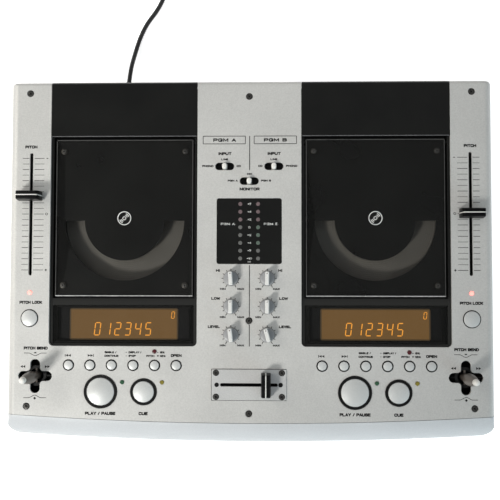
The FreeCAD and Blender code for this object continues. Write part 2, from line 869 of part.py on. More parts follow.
def standoffs():
    """The posts that the cover's screws enter, and those under the main board."""
    posts = []
    for x, y in CASE_SCREWS:
        low = BRACKET_LOW if y == "centre_screw_rear" else TRAY_TOP
        post = upright("tray_post", x, y, "post_radius", low, BOSS_BOTTOM)
        if y == "centre_screw_rear":
            bracket = box(
                "rear_bracket",
                ("-post_radius", "post_radius"),
                (y, f"{REAR_WALL} - tray_wall"),
                (BRACKET_LOW, f"{BRACKET_LOW} + 2 * tray_wall"),
            )
            post = fuse("rear_post", [post, bracket])
        bore_height = (f"{BOSS_BOTTOM} - screw_length", f"{BOSS_BOTTOM} + {PAST}")
        bore = upright("post_bore", x, y, "screw_radius + running_gap", *bore_height)
        posts.append(cut("bored_post", post, [bore]))
    for x, y in CORNERS:
        place = (
            f"main_board_x + {x} * (main_board_width / 2 - post_radius)",
            f"main_board_y + {y} * (main_board_depth / 2 - post_radius)",
        )
        top = f"{TRAY_TOP} + standoff"
        posts.append(upright("board_post", *place, "post_radius / 2", TRAY_TOP, top))
    return posts


def base_tray():
    node("base_tray", group("tray", tray_plates() + standoffs()))


def feet():
    pads = []
    for x, y in CORNERS:
        place = (f"{x} * foot_x", f"{y} * foot_y", "0")
        pads.append(cone("foot", place, "foot_radius - foot_taper", "foot_radius", "foot_height"))
    node("feet", group("foot_set", pads))


def case_screws():
    screws = []
    for x, y in CASE_SCREWS:
        seat = "panel_height - screw_sink"
        head = upright("case_screw_head", x, y, "screw_head_radius", seat, f"{seat} + screw_head_height")
        low = f"{BOSS_BOTTOM} - screw_length + screw_radius"
        shank = upright("case_screw_shank", x, y, "screw_radius", low, seat)
        screws.append(fuse("case_screw", [head, shank]))
    for x, y in PLATE_SCREWS:
        seat = "panel_height + fader_plate_thickness"
        head = upright("plate_screw_head", x, y, "screw_head_radius", seat, f"{seat} + plate_screw_rise")
        low = f"{seat} - plate_screw_length"
        shank = upright("plate_screw_shank", x, y, "screw_radius - running_gap", low, seat)
        screws.append(fuse("plate_screw", [head, shank]))
    node("case_screws", group("screw_set", screws))


# ---- Decks ----

RECESS = "panel_height - recess_depth"
WELL_FLOOR = "panel_height - well_depth"
FLOOR_BOTTOM = "panel_height - well_depth - deck_skin"
DECK_BOTTOM = "panel_height - recess_depth - deck_skin"
LID_TOP = "panel_height - lid_drop"
LID_BOTTOM = "panel_height - lid_drop - lid_thickness"
DISC_PLANE = "panel_height - disc_height"
PLATE_BOTTOM = "panel_height - lid_drop - plate_thickness"
HINGE = ("lid_rear - lid_hinge_inset", f"{PLATE_BOTTOM} - lid_pin - plate_gap")
FRAME_PLATE_BOTTOM = f"{FLOOR_BOTTOM} - frame_plate"
ROD_HEIGHT = f"{FRAME_PLATE_BOTTOM} - rod_drop"
PICKUP_SLOT = "(pickup_half_width + pickup_gap)"
PICKUP_END = "(sled_outer + pickup_half_depth + pickup_reach)"


def deck_panel(name, deck):
    half = "(deck_opening / 2 - deck_gap)"
    inside = f"({half} - deck_strip)"
    base = deck_opening(f"deck_base_{name}", deck, "deck_gap", DECK_BOTTOM, "panel_height - deck_drop")
    rear = padded_block(
        f"deck_rear_{name}",
        (f"{deck} - {half}", f"{deck} + {half}"),
        ("rear_cover_front", HALF_DEPTH),
        (DECK_BOTTOM, "panel_height"),
        [(top_rear, "rear_round")],
    )
    well_wall = upright("well_wall", deck, "disc_y", "well_radius + deck_skin", FLOOR_BOTTOM, RECESS)
    flange = box(
        "deck_flange",
        (f"{deck} - {half} - deck_flange", f"{deck} + {half} + deck_flange"),
        ("deck_front - deck_flange / 2", f"{HALF_DEPTH} - 3 * cover_wall"),
        (f"{UNDER_COVER} - deck_skin", UNDER_COVER),
    )
    flange_hollow = box(
        "flange_hollow",
        (f"{deck} - {inside}", f"{deck} + {inside}"),
        ("deck_front + deck_gap + deck_strip", f"{HALF_DEPTH} + {PAST}"),
        (f"{UNDER_COVER} - deck_skin - {PAST}", f"{UNDER_COVER} + {PAST}"),
    )
    tools = [
        box(
            "rear_hollow",
            (f"{deck} - {inside}", f"{deck} + {inside}"),
            ("rear_cover_front + deck_strip", f"{HALF_DEPTH} - cover_wall"),
            (f"{DECK_BOTTOM} - {PAST}", "panel_height - cover_wall"),
        ),
        box(
            "lid_recess",
            (f"{deck} - {inside}", f"{deck} + {inside}"),
            ("lid_front - lid_gap", "rear_cover_front"),
            (RECESS, f"panel_height + {PAST}"),
        ),
        upright("disc_well", deck, "disc_y", "well_radius", WELL_FLOOR, "panel_height"),
        upright("hub_hole", deck, "disc_y", "hub_opening", f"{FLOOR_BOTTOM} - {PAST}", "panel_height"),
        box(
            "pickup_slot",
            (f"{deck} - {PICKUP_SLOT}", f"{deck} + {PICKUP_SLOT}"),
            ("disc_y", f"disc_y + {PICKUP_END}"),
            (f"{FLOOR_BOTTOM} - {PAST}", f"{WELL_FLOOR} + {PAST}"),
        ),
        box(
            "window_seat",
            middle(deck, "window_width + seam_gap"),
            ("window_front - seam_gap / 2", "window_rear + seam_gap / 2"),
            ("panel_height - deck_drop - window_thickness", f"panel_height + {PAST}"),
        ),
        box(
            "screen_hole",
            middle(deck, "window_width - 4 * window_ledge"),
            ("window_front + window_ledge", "window_rear - window_ledge"),
            (f"{DECK_BOTTOM} - {PAST}", "panel_height"),
        ),
        cylinder(
            "hinge_hole",
            (f"{deck} - {half} - {PAST}", *HINGE),
            "lid_pin + running_gap",
            f"2 * ({half} + {PAST})",
            "x",
        ),
    ]
    skin = fuse("deck_solid", [base, rear, well_wall])
    rim = cut("deck_rim", flange, [flange_hollow])
    well_clear = upright("well_clear", deck, "disc_y", "well_radius", WELL_FLOOR, f"panel_height + {PAST}")
    return cut(f"deck_{name}", fuse("deck_with_rim", [skin, cut("deck_rim_clear", rim, [well_clear])]), tools)


def lid(name, deck):
    hinge_y, hinge_z = HINGE
    slab = box("lid_slab", middle("0", "lid_width"), ("lid_front", "lid_rear"), (LID_BOTTOM, PLATE_BOTTOM))
    pin_reach = "lid_width / 2 + lid_gap + deck_strip - seam_gap"
    pin = cylinder("lid_pins", (f"-({pin_reach})", hinge_y, hinge_z), "lid_pin", f"2 * ({pin_reach})", "x")
    puck_bottom = f"{DISC_PLANE} + disc_thickness + puck_gap"
    puck = upright("lid_puck", "0", "disc_y", "puck_radius", puck_bottom, LID_BOTTOM)
    through = (f"{LID_BOTTOM} - {PAST}", f"{LID_TOP} + {PAST}")
    ring = cut(
        "ring_band",
        upright("ring_outer_edge", "0", "disc_y", "ring_outer", *through),
        [upright("ring_inner_edge", "0", "disc_y", "ring_inner", *through)],
    )
    lower_half = box(
        "ring_lower_half",
        middle("0", "lid_width"),
        ("lid_front", "disc_y"),
        through,
    )
    tools = [common("ring_window", ring, lower_half)]
    for x, y in LID_SCREWS:
        tools.append(upright("lid_screw_hole", x, y, "lid_screw_shank + running_gap", *through))
    node(f"lid_{name}", cut("lid_frame", fuse("lid_solid", [slab, pin, puck]), tools), deck)


def lid_plate(name, deck):
    plate = box(
        "plate_slab",
        middle("0", "lid_width - 2 * plate_gap"),
        ("lid_front + plate_gap", "lid_rear - plate_gap"),
        (PLATE_BOTTOM, LID_TOP),
    )
    through = (f"{LID_BOTTOM} - {PAST}", f"{LID_TOP} + {PAST}")
    holes = [
        upright("plate_hole", x, y, "lid_screw_shank + running_gap", *through) for x, y in LID_SCREWS
    ]
    pieces = [cut("plate_drilled", plate, holes)]
    for x, y in LID_SCREWS:
        head = upright("lid_screw_head", x, y, "lid_screw_head", LID_TOP, f"{LID_TOP} + lid_screw_rise")
        shank = upright("lid_screw_shank", x, y, "lid_screw_shank", f"{LID_BOTTOM} + {PAST}", LID_TOP)
        pieces.append(fuse("lid_screw", [head, shank]))
    node(f"lid_plate_{name}", group("lid_plate_set", pieces), deck)


def disc_hub(name, deck):
    low = f"{DISC_PLANE} - turntable_thickness"
    root = f"{FRAME_PLATE_BOTTOM} - spindle_reach"
    pieces = [
        upright("turntable", "0", "0", "turntable_radius", low, DISC_PLANE),
        cone("hub_boss", ("0", "0", DISC_PLANE), "hub_radius", "hub_radius - hub_rise / 2", "hub_rise"),
        upright("hub_spindle", "0", "0", "spindle_radius", root, DISC_PLANE),
    ]
    node(f"disc_hub_{name}", fuse("hub", pieces), deck, "disc_y")


def laser_pickup(name, deck):
    plate = FRAME_PLATE_BOTTOM
    lens_top = f"{DISC_PLANE} - lens_clear"
    head = box(
        "pickup_head",
        ("-pickup_half_width", "pickup_half_width"),
        ("-pickup_half_depth", "pickup_half_depth"),
        (f"{plate} - pickup_root", f"{lens_top} - pickup_gap"),
    )
    lens = upright("pickup_lens", "0", "0", "lens_radius", f"{lens_top} - 2 * pickup_gap", lens_top)
    sled = box(
        "pickup_sled",
        ("-rod_x - sled_edge", "rod_x + sled_edge"),
        ("-sled_half_depth", "sled_half_depth"),
        (f"{ROD_HEIGHT} - sled_drop", f"{plate} - pickup_gap"),
    )
    bores = []
    for x in (-1, 1):
        start = (f"{x} * rod_x", f"-sled_half_depth - {PAST}", ROD_HEIGHT)
        length = f"2 * (sled_half_depth + {PAST})"
        bores.append(cylinder("sled_bore", start, "rod_radius + running_gap", length, "y"))
    pickup = cut("pickup", fuse("pickup_solid", [head, lens, sled]), bores)
    node(f"laser_pickup_{name}", pickup, deck, "disc_y + sled_rest")


ROD_ENDS = ("disc_y + sled_inner - sled_half_depth - 2 * bracket_length", "disc_y + frame_rear")


def drive_frame(deck):
    plate = box(
        "frame_plate",
        (f"{deck} - frame_half_width", f"{deck} + frame_half_width"),
        ("disc_y + frame_front", "disc_y + frame_rear"),
        (FRAME_PLATE_BOTTOM, FLOOR_BOTTOM),
    )
    brackets = []
    bores = []
    for x in (-1, 1):
        across = middle(f"{deck} + {x} * rod_x", "6 * rod_radius")
        height = (f"{ROD_HEIGHT} - 2 * rod_radius", FRAME_PLATE_BOTTOM)
        for low in (ROD_ENDS[0], f"{ROD_ENDS[1]} - bracket_length"):
            brackets.append(box("rod_bracket", across, (low, f"{low} + bracket_length"), height))
        start = (f"{deck} + {x} * rod_x", f"{ROD_ENDS[0]} - {PAST}", ROD_HEIGHT)
        length = f"{span(*ROD_ENDS)} + 2 * {PAST}"
        bores.append(cylinder("bracket_bore", start, "rod_radius + running_gap", length, "y"))
    through = (f"{FRAME_PLATE_BOTTOM} - {PAST}", f"{FLOOR_BOTTOM} + {PAST}")
    tools = bores + [
        upright("shaft_hole", deck, "disc_y", "shaft_hole", *through),
        box(
            "frame_slot",
            (f"{deck} - {PICKUP_SLOT}", f"{deck} + {PICKUP_SLOT}"),
            ("disc_y + sled_inner - pickup_half_depth - pickup_reach", f"disc_y + {PICKUP_END}"),
            through,
        ),
    ]
    return cut("drive_frame", fuse("frame_solid", [plate] + brackets), tools)


def deck_motors(deck):
    motor_low = f"{FRAME_PLATE_BOTTOM} - motor_height"
    motor = upright("spindle_motor", deck, "disc_y", "motor_radius", motor_low, FRAME_PLATE_BOTTOM)
    bore_height = (f"{FRAME_PLATE_BOTTOM} - spindle_reach - spindle_radius", f"{FRAME_PLATE_BOTTOM} + {PAST}")
    bore = upright("motor_bore", deck, "disc_y", "spindle_radius + running_gap", *bore_height)
    guide = (f"{deck} - rod_x", ROD_ENDS[0], ROD_HEIGHT)
    lead = (f"{deck} + rod_x", ROD_ENDS[0], ROD_HEIGHT)
    screw = cylinder("lead_screw", lead, "rod_radius", f"{span(*ROD_ENDS)} + {PAST}", "y")
    seat = (f"{deck} + rod_x", ROD_ENDS[1], ROD_HEIGHT)
    sled_motor = cylinder("sled_motor", seat, "sled_motor_radius", "sled_motor_length", "y")
    return [
        cut("bored_motor", motor, [bore]),
        cylinder("guide_rod", guide, "rod_radius", span(*ROD_ENDS), "y"),
        fuse("sled_drive", [screw, sled_motor]),
    ]


def windows():
    panes = [
        box(
            "display_window",
            middle(deck, "window_width"),
            ("window_front", "window_rear"),
            ("panel_height - deck_drop - window_thickness", "panel_height - deck_drop"),
        )
        for deck in DECKS.values()
    ]
    panes.append(
        box(
            "meter_window",
            middle("0", "meter_width"),
            ("meter_front", "meter_rear"),
            ("panel_height - window_thickness", "panel_height"),
        )
    )
    node("windows", group("window_set", panes))


# ---- Controls ----

SWITCH_TOP = f"{BOARD_TOP} + switch_height"


def push_button(label, x, y, cap, rise, collar_depth="0"):
    """A domed cap with a stop flange and a stem that reaches its switch."""
    flange_top = f"{UNDER_COVER} - ({collar_depth}) - fit_gap"
    top = f"panel_height + {rise}"
    shaft = upright("cap_shaft", "0", "0", cap, f"{flange_top} - flange_thickness", f"{top} + {PAST}")
    dome = doc.addObject("Part::Sphere", "cap_dome")
    dome.setExpression("Radius", formula(f"cap_dome * {cap} + cap_skirt"))
    move(dome, 0, 0, f"{top} - cap_dome * {cap} - cap_skirt")
    flange_low = f"{flange_top} - flange_thickness"
    flange = upright("cap_flange", "0", "0", f"{cap} + flange_overlap + fit_gap", flange_low, flange_top)
    stem = upright("cap_stem", "0", "0", "stem_radius", f"{SWITCH_TOP} - fit_gap", flange_low)
    body = fuse("cap_body", [common("cap_domed", shaft, dome), flange, stem])
    node(label, body, x, y)


def buttons(name, deck, side):
    for word, x in zip(SMALL_BUTTONS, button_columns(deck)):
        push_button(f"button_{word}_{name}", x, "small_button_y", "small_cap", "small_rise")
    for word in ("play", "cue"):
        place = (f"{deck} + {word}_x", "big_button_y")
        push_button(f"button_{word}_{name}", *place, f"{word}_cap", "big_rise", "deck_skin")
    push_button(f"button_pitch_lock_{name}", f"{side} * pitch_x", "lock_y", "lock_cap", "lock_rise")


def knob(label, x, y, turn):
    """A knob with a raised ridge for a pointer, turned to where it is set."""
    low = "panel_height + knob_lift"
    skirt = cone("knob_skirt", ("0", "0", low), "knob_radius", "knob_top_radius", "knob_skirt")
    ridge = box(
        "knob_ridge",
        middle("0", "knob_ridge"),
        middle("0", "2 * knob_radius"),
        (low, "panel_height + knob_height"),
    )
    core = upright("knob_core", "0", "0", "knob_top_radius", low, "panel_height + knob_height")
    root = f"{BOARD_TOP} + pot_floor + fit_gap"
    shaft = upright("knob_shaft", "0", "0", "knob_shaft", root, "panel_height + knob_skirt")
    piece = node(label, fuse("knob", [skirt, common("knob_pointer", ridge, core), shaft]), x, y)
    piece.setExpression("Placement.Rotation.Angle", formula(turn))


def fader_cap(label, x, y, lengthwise):
    """A sloped cap on a thin stem; its length lies along X, or along Y where lengthwise is true."""
    wedge = doc.addObject("Part::Wedge", "fader_cap")
    sizes = {
        "Xmin": "-fader_cap_length / 2",
        "Xmax": "fader_cap_length / 2",
        "X2min": "-fader_cap_top_length / 2",
        "X2max": "fader_cap_top_length / 2",
        "Zmin": "-fader_cap_width / 2",
        "Zmax": "fader_cap_width / 2",
        "Z2min": "-fader_cap_top_width / 2",
        "Z2max": "fader_cap_top_width / 2",
        "Ymin": "0",
        "Ymax": "fader_cap_height",
    }
    for side, size in sizes.items():
        wedge.setExpression(side, formula(size))
    wedge.Placement.Rotation = FreeCAD.Rotation(Vector(1, 0, 0), 90)
    base = "panel_height + fader_plate_thickness + fader_lift"
    move(wedge, 0, 0, base)
    stem = box(
        "fader_stem",
        middle("0", "fader_stem_width"),
        middle("0", "fader_stem_length"),
        (f"{UNDER_COVER} - fader_body_height / 2", f"{base} + {PAST}"),
    )
    piece = fuse("fader", [wedge, stem])
    if lengthwise:
        piece.Placement.Rotation = FreeCAD.Rotation(Vector(0, 0, 1), 90)
    node(label, piece, x, y)


STICK_STAGES = ("stick_neck", "stick_belly", "stick_shoulder", "stick_tip")


def joystick(name, side):
    """A fat stick, round at its tip, that tilts on an axle in a ring, and the ring on pins across it."""
    pivot = "panel_height - stick_pivot"
    place = (f"{side} * stick_x", "stick_y")
    pivot_bore = cylinder(
        "gimbal_pivot_bore",
        ("0", f"-gimbal_outer - {PAST}", pivot),
        "lid_pin + running_gap",
        f"2 * (gimbal_outer + {PAST})",
        "y",
    )
    height = (f"{pivot} - gimbal_half", f"{pivot} + gimbal_half")
    bore_height = (f"{pivot} - 2 * gimbal_half", f"{pivot} + 2 * gimbal_half")
    disc = upright("gimbal_body", "0", "0", "gimbal_outer", *height)
    bore = upright("gimbal_bore", "0", "0", "gimbal_inner", *bore_height)
    ring = cut("gimbal_ring", disc, [bore, pivot_bore])
    reach = "stick_box / 2 - fit_gap"
    pins = []
    for start, end in ((f"-({reach})", f"-gimbal_inner - {PAST}"), (f"gimbal_inner + {PAST}", reach)):
        pins.append(cylinder("gimbal_pin", (start, "0", pivot), "lid_pin", span(start, end), "x"))
    node(f"joystick_gimbal_{name}", fuse("gimbal", [ring] + pins), *place)
    root = "panel_height - stick_root"
    lever = [upright("stick_shaft", "0", "0", "stick_neck", root, "panel_height + stick_neck_rise")]
    for start, end in zip(STICK_STAGES, STICK_STAGES[1:]):
        low = f"panel_height + {start}_rise"
        lever.append(cone("stick_stage", ("0", "0", low), start, end, f"{end}_rise - {start}_rise"))
    tip = doc.addObject("Part::Sphere", "stick_tip_ball")
    tip.setExpression("Radius", formula("stick_tip"))
    lever.append(move(tip, 0, 0, "panel_height + stick_tip_rise"))
    axle_reach = "(gimbal_outer - fit_gap)"
    axle = cylinder("stick_axle", ("0", f"-{axle_reach}", pivot), "lid_pin", f"2 * {axle_reach}", "y")
    node(f"joystick_stick_{name}", fuse("stick", lever + [axle]), *place)


def stick_housing(side):
    x, y = f"{side} * stick_x", "stick_y"
    low = f"{UNDER_COVER} - stick_box_depth"
    inner = "stick_box - 2 * stick_box_wall"
    hollow_height = (f"{low} + stick_box_wall", "panel_height")
    shell = box("stick_shell", middle(x, "stick_box"), middle(y, "stick_box"), (low, UNDER_COVER))
    hollow = box("stick_hollow", middle(x, inner), middle(y, inner), hollow_height)
    bore = cylinder(
        "stick_pivot_bore",
        (f"{x} - stick_box / 2 - {PAST}", y, "panel_height - stick_pivot"),
        "lid_pin + running_gap",
        f"stick_box + 2 * {PAST}",
        "x",
    )
    return cut("stick_housing", shell, [hollow, bore])


def selector(label, x, y):
    """A slide switch's lever: a rounded paddle on a square foot."""
    height = (UNDER_COVER, "panel_height + lever_rise")
    paddle = slot_tool("lever_paddle", "0", "0", "lever_depth", "lever_width", *height, along="y")
    foot = box(
        "lever_foot",
        middle("0", "lever_width"),
        middle("0", "lever_depth"),
        (f"{UNDER_COVER} - lever_root", f"{UNDER_COVER} - fit_gap"),
    )
    neck_height = (f"{UNDER_COVER} - {PAST}", f"{UNDER_COVER} + {PAST}")
    neck = upright("lever_neck", "0", "0", "lever_width / 2", *neck_height)
    node(label, fuse("lever", [paddle, foot, neck]), x, y)


def switch_body(x, y):
    """A slide switch under the cover, open at the top where its lever runs."""
    height = (BOARD_TOP, UNDER_COVER)
    block = box("switch_block", middle(x, "switch_length"), middle(y, "switch_depth"), height)
    track = box(
        "switch_track",
        middle(x, "2 * selector_travel + lever_width + 4 * fit_gap"),
        middle(y, "lever_depth + 2 * fit_gap"),
        (f"{UNDER_COVER} - lever_root - fit_gap", "panel_height"),
    )
    return cut("switch_body", block, [track])


def fader_body(x, y, length, lengthwise):
    """A slide potentiometer, grooved where the stem of its cap runs."""
    height = (f"{UNDER_COVER} - fader_body_height", UNDER_COVER)
    track_height = (f"{UNDER_COVER} - fader_body_height / 2 - fit_gap", "panel_height")
    track = "fader_stem_width + 4 * fit_gap"
    body_length = f"{length} + 2 * fader_body_end"
    if lengthwise:
        block = box("fader_block", middle(x, "fader_body_width"), middle(y, body_length), height)
        groove = box("fader_groove", middle(x, track), middle(y, length), track_height)
    else:
        block = box("fader_block", middle(x, body_length), middle(y, "fader_body_width"), height)
        groove = box("fader_groove", middle(x, length), middle(y, track), track_height)
    return cut("fader_body", block, [groove])


def collar(x, y, ring, cap):
    """The black ring round a large button, with a flange that meets the cover from below."""
    low = f"{UNDER_COVER} - deck_skin"
    rim = upright("collar_rim", x, y, f"{ring} - seam_gap / 2", low, "panel_height + collar_rise")
    flange = upright("collar_flange", x, y, f"{ring} + flange_overlap", low, UNDER_COVER)
    bore_height = (f"{low} - {PAST}", f"panel_height + collar_rise + {PAST}")
    bore = upright("collar_bore", x, y, f"{cap} + collar_gap", *bore_height)
    return cut("collar", fuse("collar_solid", [rim, flange]), [bore])


def potentiometer(x, y):
    size = "2 * pot_half"
    block = box("pot_block", middle(x, size), middle(y, size), (BOARD_TOP, UNDER_COVER))
    bore = upright("pot_bore", x, y, "knob_shaft + running_gap", f"{BOARD_TOP} + pot_floor", "panel_height")
    return cut("pot", block, [bore])


def control_bodies():
    bodies = []
    for name, deck in DECKS.items():
        side = SIDES[name]
        for word in ("play", "cue"):
            bodies.append(collar(f"{deck} + {word}_x", "big_button_y", f"{word}_ring", f"{word}_cap"))
        bodies.append(fader_body(f"{side} * pitch_x", "pitch_zero_y", "pitch_slot_length", True))
        bodies.append(stick_housing(side))
        bodies.append(switch_body(f"{side} * selector_x", "selector_y"))
        for y in knob_rows():
            bodies.append(potentiometer(f"{side} * knob_x", y))
    bodies.append(fader_body("0", "fader_y", "fader_slot_length", False))
    bodies.append(switch_body("0", "monitor_y"))
    node("control_bodies", group("control_set", bodies))


def crossfader_plate():
    plate = padded_block(
        "fader_plate",
        middle("0", "fader_plate_width"),
        middle("fader_y", "fader_plate_depth"),
        ("panel_height", "panel_height + fader_plate_thickness"),
        [(any_upright, "fader_plate_corner")],
    )
    low, high = f"panel_height - {PAST}", f"panel_height + fader_plate_thickness + {PAST}"
    tools = [slot_tool("plate_slot", "0", "fader_y", "fader_slot_length", "slot_width", low, high)]
    for x, y in PLATE_SCREWS:
        tools.append(upright("plate_screw_hole", x, y, "screw_radius + running_gap", low, high))
    node("crossfader_plate", cut("fader_plate_cut", plate, tools))


def tact_switch(x, y):
    block = box(
        "tact_block",
        (f"{x} - switch_half", f"{x} + switch_half"),
        (f"{y} - switch_half", f"{y} + switch_half"),
        (BOARD_TOP, SWITCH_TOP),
    )
    well_height = (f"{SWITCH_TOP} - switch_well", f"{SWITCH_TOP} + {PAST}")
    well = upright("tact_well", x, y, "stem_radius + fit_gap", *well_height)
    return cut("tact", block, [well])


def deck_board(name, deck):
    """The board under one deck's buttons, with its switches, lamps and display module."""
    pitch = f"{SIDES[name]} * pitch_x"
    height = (BOARD_BOTTOM, BOARD_TOP)
    lamp_height = (BOARD_TOP, "panel_height + lamp_rise")
    depth = ("big_button_y - board_margin", "window_rear + window_ledge")
    pitch_depth = ("lock_y - board_margin", "pitch_lamp_y + board_margin / 2")
    pieces = [
        box("deck_board", middle(deck, "deck_opening - board_margin"), depth, height),
        box("pitch_board", middle(pitch, "pitch_board_width"), pitch_depth, height),
        tact_switch(f"{deck} + play_x", "big_button_y"),
        tact_switch(f"{deck} + cue_x", "big_button_y"),
        tact_switch(pitch, "lock_y"),
        upright("pitch_lamp", pitch, "pitch_lamp_y", "lamp_radius", *lamp_height),
        box(
            "display_module",
            middle(deck, "screen_width"),
            middle("screen_y", "screen_depth"),
            (BOARD_TOP, "panel_height - screen_drop"),
        ),
    ]
    for x in button_columns(deck):
        pieces.append(tact_switch(x, "small_button_y"))
    for x, y in LAMPS:
        pieces.append(upright("deck_lamp", f"{deck} + ({x})", y, "lamp_radius", *lamp_height))
    return fuse("deck_board_set", pieces)


def mixer_board():
    """The board under the mixer, with the lamps of its level meter."""
    height = (BOARD_BOTTOM, BOARD_TOP)
    reach = "(deck_x - deck_opening / 2 - deck_flange - board_gap)"
    depth = ("fader_y + board_margin", "selector_y + board_margin")
    board = box("mixer_board", (f"-{reach}", reach), depth, height)
    post_height = (f"{BOARD_BOTTOM} - {PAST}", f"{BOARD_TOP} + {PAST}")
    post_hole = upright("post_hole", "0", "centre_screw_middle", "boss_radius + board_gap", *post_height)
    pieces = [cut("mixer_board_cut", board, [post_hole])]
    lamp_height = (BOARD_TOP, "panel_height - meter_lamp_drop")
    for side in SIDES.values():
        for n in range(int(cell("meter_lamp_count"))):
            place = (f"{side} * meter_lamp_x", f"meter_lamp_rear - {n} * meter_lamp_pitch")
            pieces.append(upright("meter_lamp", *place, "lamp_radius", *lamp_height))
    return fuse("mixer_board_set", pieces)


def circuit_boards():
    boards = [mixer_board()] + [deck_board(name, deck) for name, deck in DECKS.items()]
    board_low = f"{TRAY_TOP} + standoff"
    boards.append(
        box(
            "main_board",
            middle("main_board_x", "main_board_width"),
            middle("main_board_y", "main_board_depth"),
            (board_low, f"{board_low} + board_thickness"),
        )
    )
    node("circuit_boards", group("board_set", boards))


# ---- Mains and rear wall ----


JACK_COLUMNS = range(-2, 3)


def rear_jacks():
    face = f"{REAR_WALL} - jack_recess"
    outer = box(
        "jack_box",
        middle("0", "jack_field_width - seam_gap"),
        (f"{face} - jack_panel", REAR_WALL),
        ("jack_field_low + seam_gap / 2", "jack_field_high - seam_gap / 2"),
    )
    hollow = box(
        "jack_box_hollow",
        middle("0", "jack_field_width - 3 * jack_panel"),
        (face, f"{REAR_WALL} + {PAST}"),
        ("jack_field_low + jack_panel", "jack_field_high - jack_panel"),
    )
    barrels = []
    bores = []
    mid = "(jack_field_low + jack_field_high) / 2"
    for column in JACK_COLUMNS:
        for row_side in (-1, 1):
            place = (f"{column} * jack_spacing", face, f"{mid} + {row_side} * jack_row")
            barrels.append(cylinder("jack_barrel", place, "jack_radius", "jack_length", "y"))
            bores.append(cylinder("jack_bore", place, "jack_bore", f"jack_length + {PAST}", "y"))
    tray = cut("jack_tray", outer, [hollow])
    node("rear_jacks", cut("jacks", fuse("jack_solid", [tray] + barrels), bores))


def mains_transformer():
    core = box(
        "transformer_core",
        middle("transformer_x", "transformer_width"),
        middle("transformer_y", "transformer_depth"),
        (TRAY_TOP, f"{TRAY_TOP} + transformer_height"),
    )
    coil = box(
        "transformer_coil",
        middle("transformer_x", "transformer_width / 2"),
        middle("transformer_y", "transformer_depth + 2 * winding_overhang"),
        (f"{TRAY_TOP} + winding_inset", f"{TRAY_TOP} + transformer_height - winding_inset"),
    )
    node("mains_transformer", fuse("transformer", [core, coil]))


# The lead's route from its strain relief to its coil, on the surface that the console stands on.
CORD_ROUTE = [
    (-121.0, 178.5, 14.0),
    (-119.6, 192.0, 13.6),
    (-117.0, 209.0, 5.0),
    (-112.6, 226.0, 2.3),
    (-105.6, 241.0, 2.3),
    (-95.0, 254.5, 2.3),
    (-87.6, 269.5, 2.3),
    (-85.6, 288.0, 2.3),
    (-85.3, 306.0, 2.3),
]
CORD_ARC_SHARE = 0.45
# The height of one more layer of turns, as a share of the lead's diameter.
COIL_NESTING = 0.9


def rounded_path(points):
    """Straight runs joined by tangent arcs, each as large as its two runs allow; prints their radii."""
    edges = []
    start = points[0]
    for before, corner, after in zip(points, points[1:], points[2:]):
        inward = (before - corner).normalize()
        outward = (after - corner).normalize()
        turn = math.pi - inward.getAngle(outward)
        reach = CORD_ARC_SHARE * min((before - corner).Length, (after - corner).Length)
        radius = reach / math.tan(turn / 2)
        print(f"cord arc: turn {math.degrees(turn):.1f} degrees, radius {radius:.1f} mm")
        arc_start = corner + inward * reach
        arc_end = corner + outward * reach
        bisector = (inward + outward).normalize()
        centre = corner + bisector * (radius / math.cos(turn / 2))
        arc_middle = centre - bisector * radius
        edges.append(Part.LineSegment(start, arc_start).toShape())
        edges.append(Part.Arc(arc_start, arc_middle, arc_end).toShape())
        start = arc_end
    edges.append(Part.LineSegment(start, points[-1]).toShape())
    return Part.Wire(edges)


def power_cord():
    radius = cell("cord_radius")
    path = rounded_path([Vector(*point) for point in CORD_ROUTE])
    direction = path.Edges[0].tangentAt(path.Edges[0].FirstParameter)
    ring = Part.Wire(Part.Circle(Vector(*CORD_ROUTE[0]), direction, radius).toShape())
    tube = path.makePipeShell([ring], True, True)
    expected = math.pi * radius**2 * path.Length
    print(f"cord: length {path.Length:.1f} mm, volume {tube.Volume:.1f}, section times length {expected:.1f}")
    node("power_cord", feature("cord_tube", tube))


def cord_coil():
    """The outer shape of the wound part of the lead: a flat ring."""
    half = "coil_columns * cord_radius"
    height = f"2 * cord_radius * (1 + (coil_layers - 1) * {COIL_NESTING})"
    outer = upright("coil_outer", "coil_x", "coil_y", f"coil_turn_radius + {half}", "0", height)
    bore = upright("coil_bore", "coil_x", "coil_y", f"coil_turn_radius - {half}", "-1", f"{height} + {PAST}")
    node("cord_coil", cut("coil", outer, [bore]))


def power_plug():
    """A two-pin plug that lies beside the coil."""
    coil_radius = "(coil_turn_radius + coil_columns * cord_radius)"
    x = f"(coil_x + {coil_radius} + plug_width / 2 + fit_gap)"
    y = "(coil_y + plug_offset)"
    body = padded_block(
        "plug_body",
        middle(x, "plug_width"),
        middle(y, "plug_length"),
        ("0", "plug_height"),
        [(any_upright, "plug_round")],
    )
    tip = f"{y} + plug_length / 2"
    blades = []
    for side in SIDES.values():
        blades.append(
            box(
                "plug_blade",
                middle(f"{x} + {side} * blade_spacing / 2", "blade_thickness"),
                (f"{tip} - {PAST}", f"{tip} + blade_length"),
                middle("plug_height / 2", "blade_depth"),
            )
        )
    node("power_plug", fuse("plug", [body] + blades))


def strain_relief():
    inner = f"{REAR_WALL} - tray_wall - {PAST}"
    root = f"{inner} - relief_flange_length"
    taper_place = ("cord_exit_x", REAR_WALL, "cord_exit_z")
    neck_place = ("cord_exit_x", inner, "cord_exit_z")
    flange_place = ("cord_exit_x", root, "cord_exit_z")
    pieces = [
        cone("relief_taper", taper_place, "relief_root", "relief_tip", "relief_length", "y"),
        cylinder("relief_neck", neck_place, "relief_root", f"tray_wall + {PAST}", "y"),
        cylinder("relief_flange", flange_place, "relief_flange", f"relief_flange_length + {PAST}", "y"),
    ]
    node("strain_relief", fuse("relief", pieces))


# ---- Assembly ----

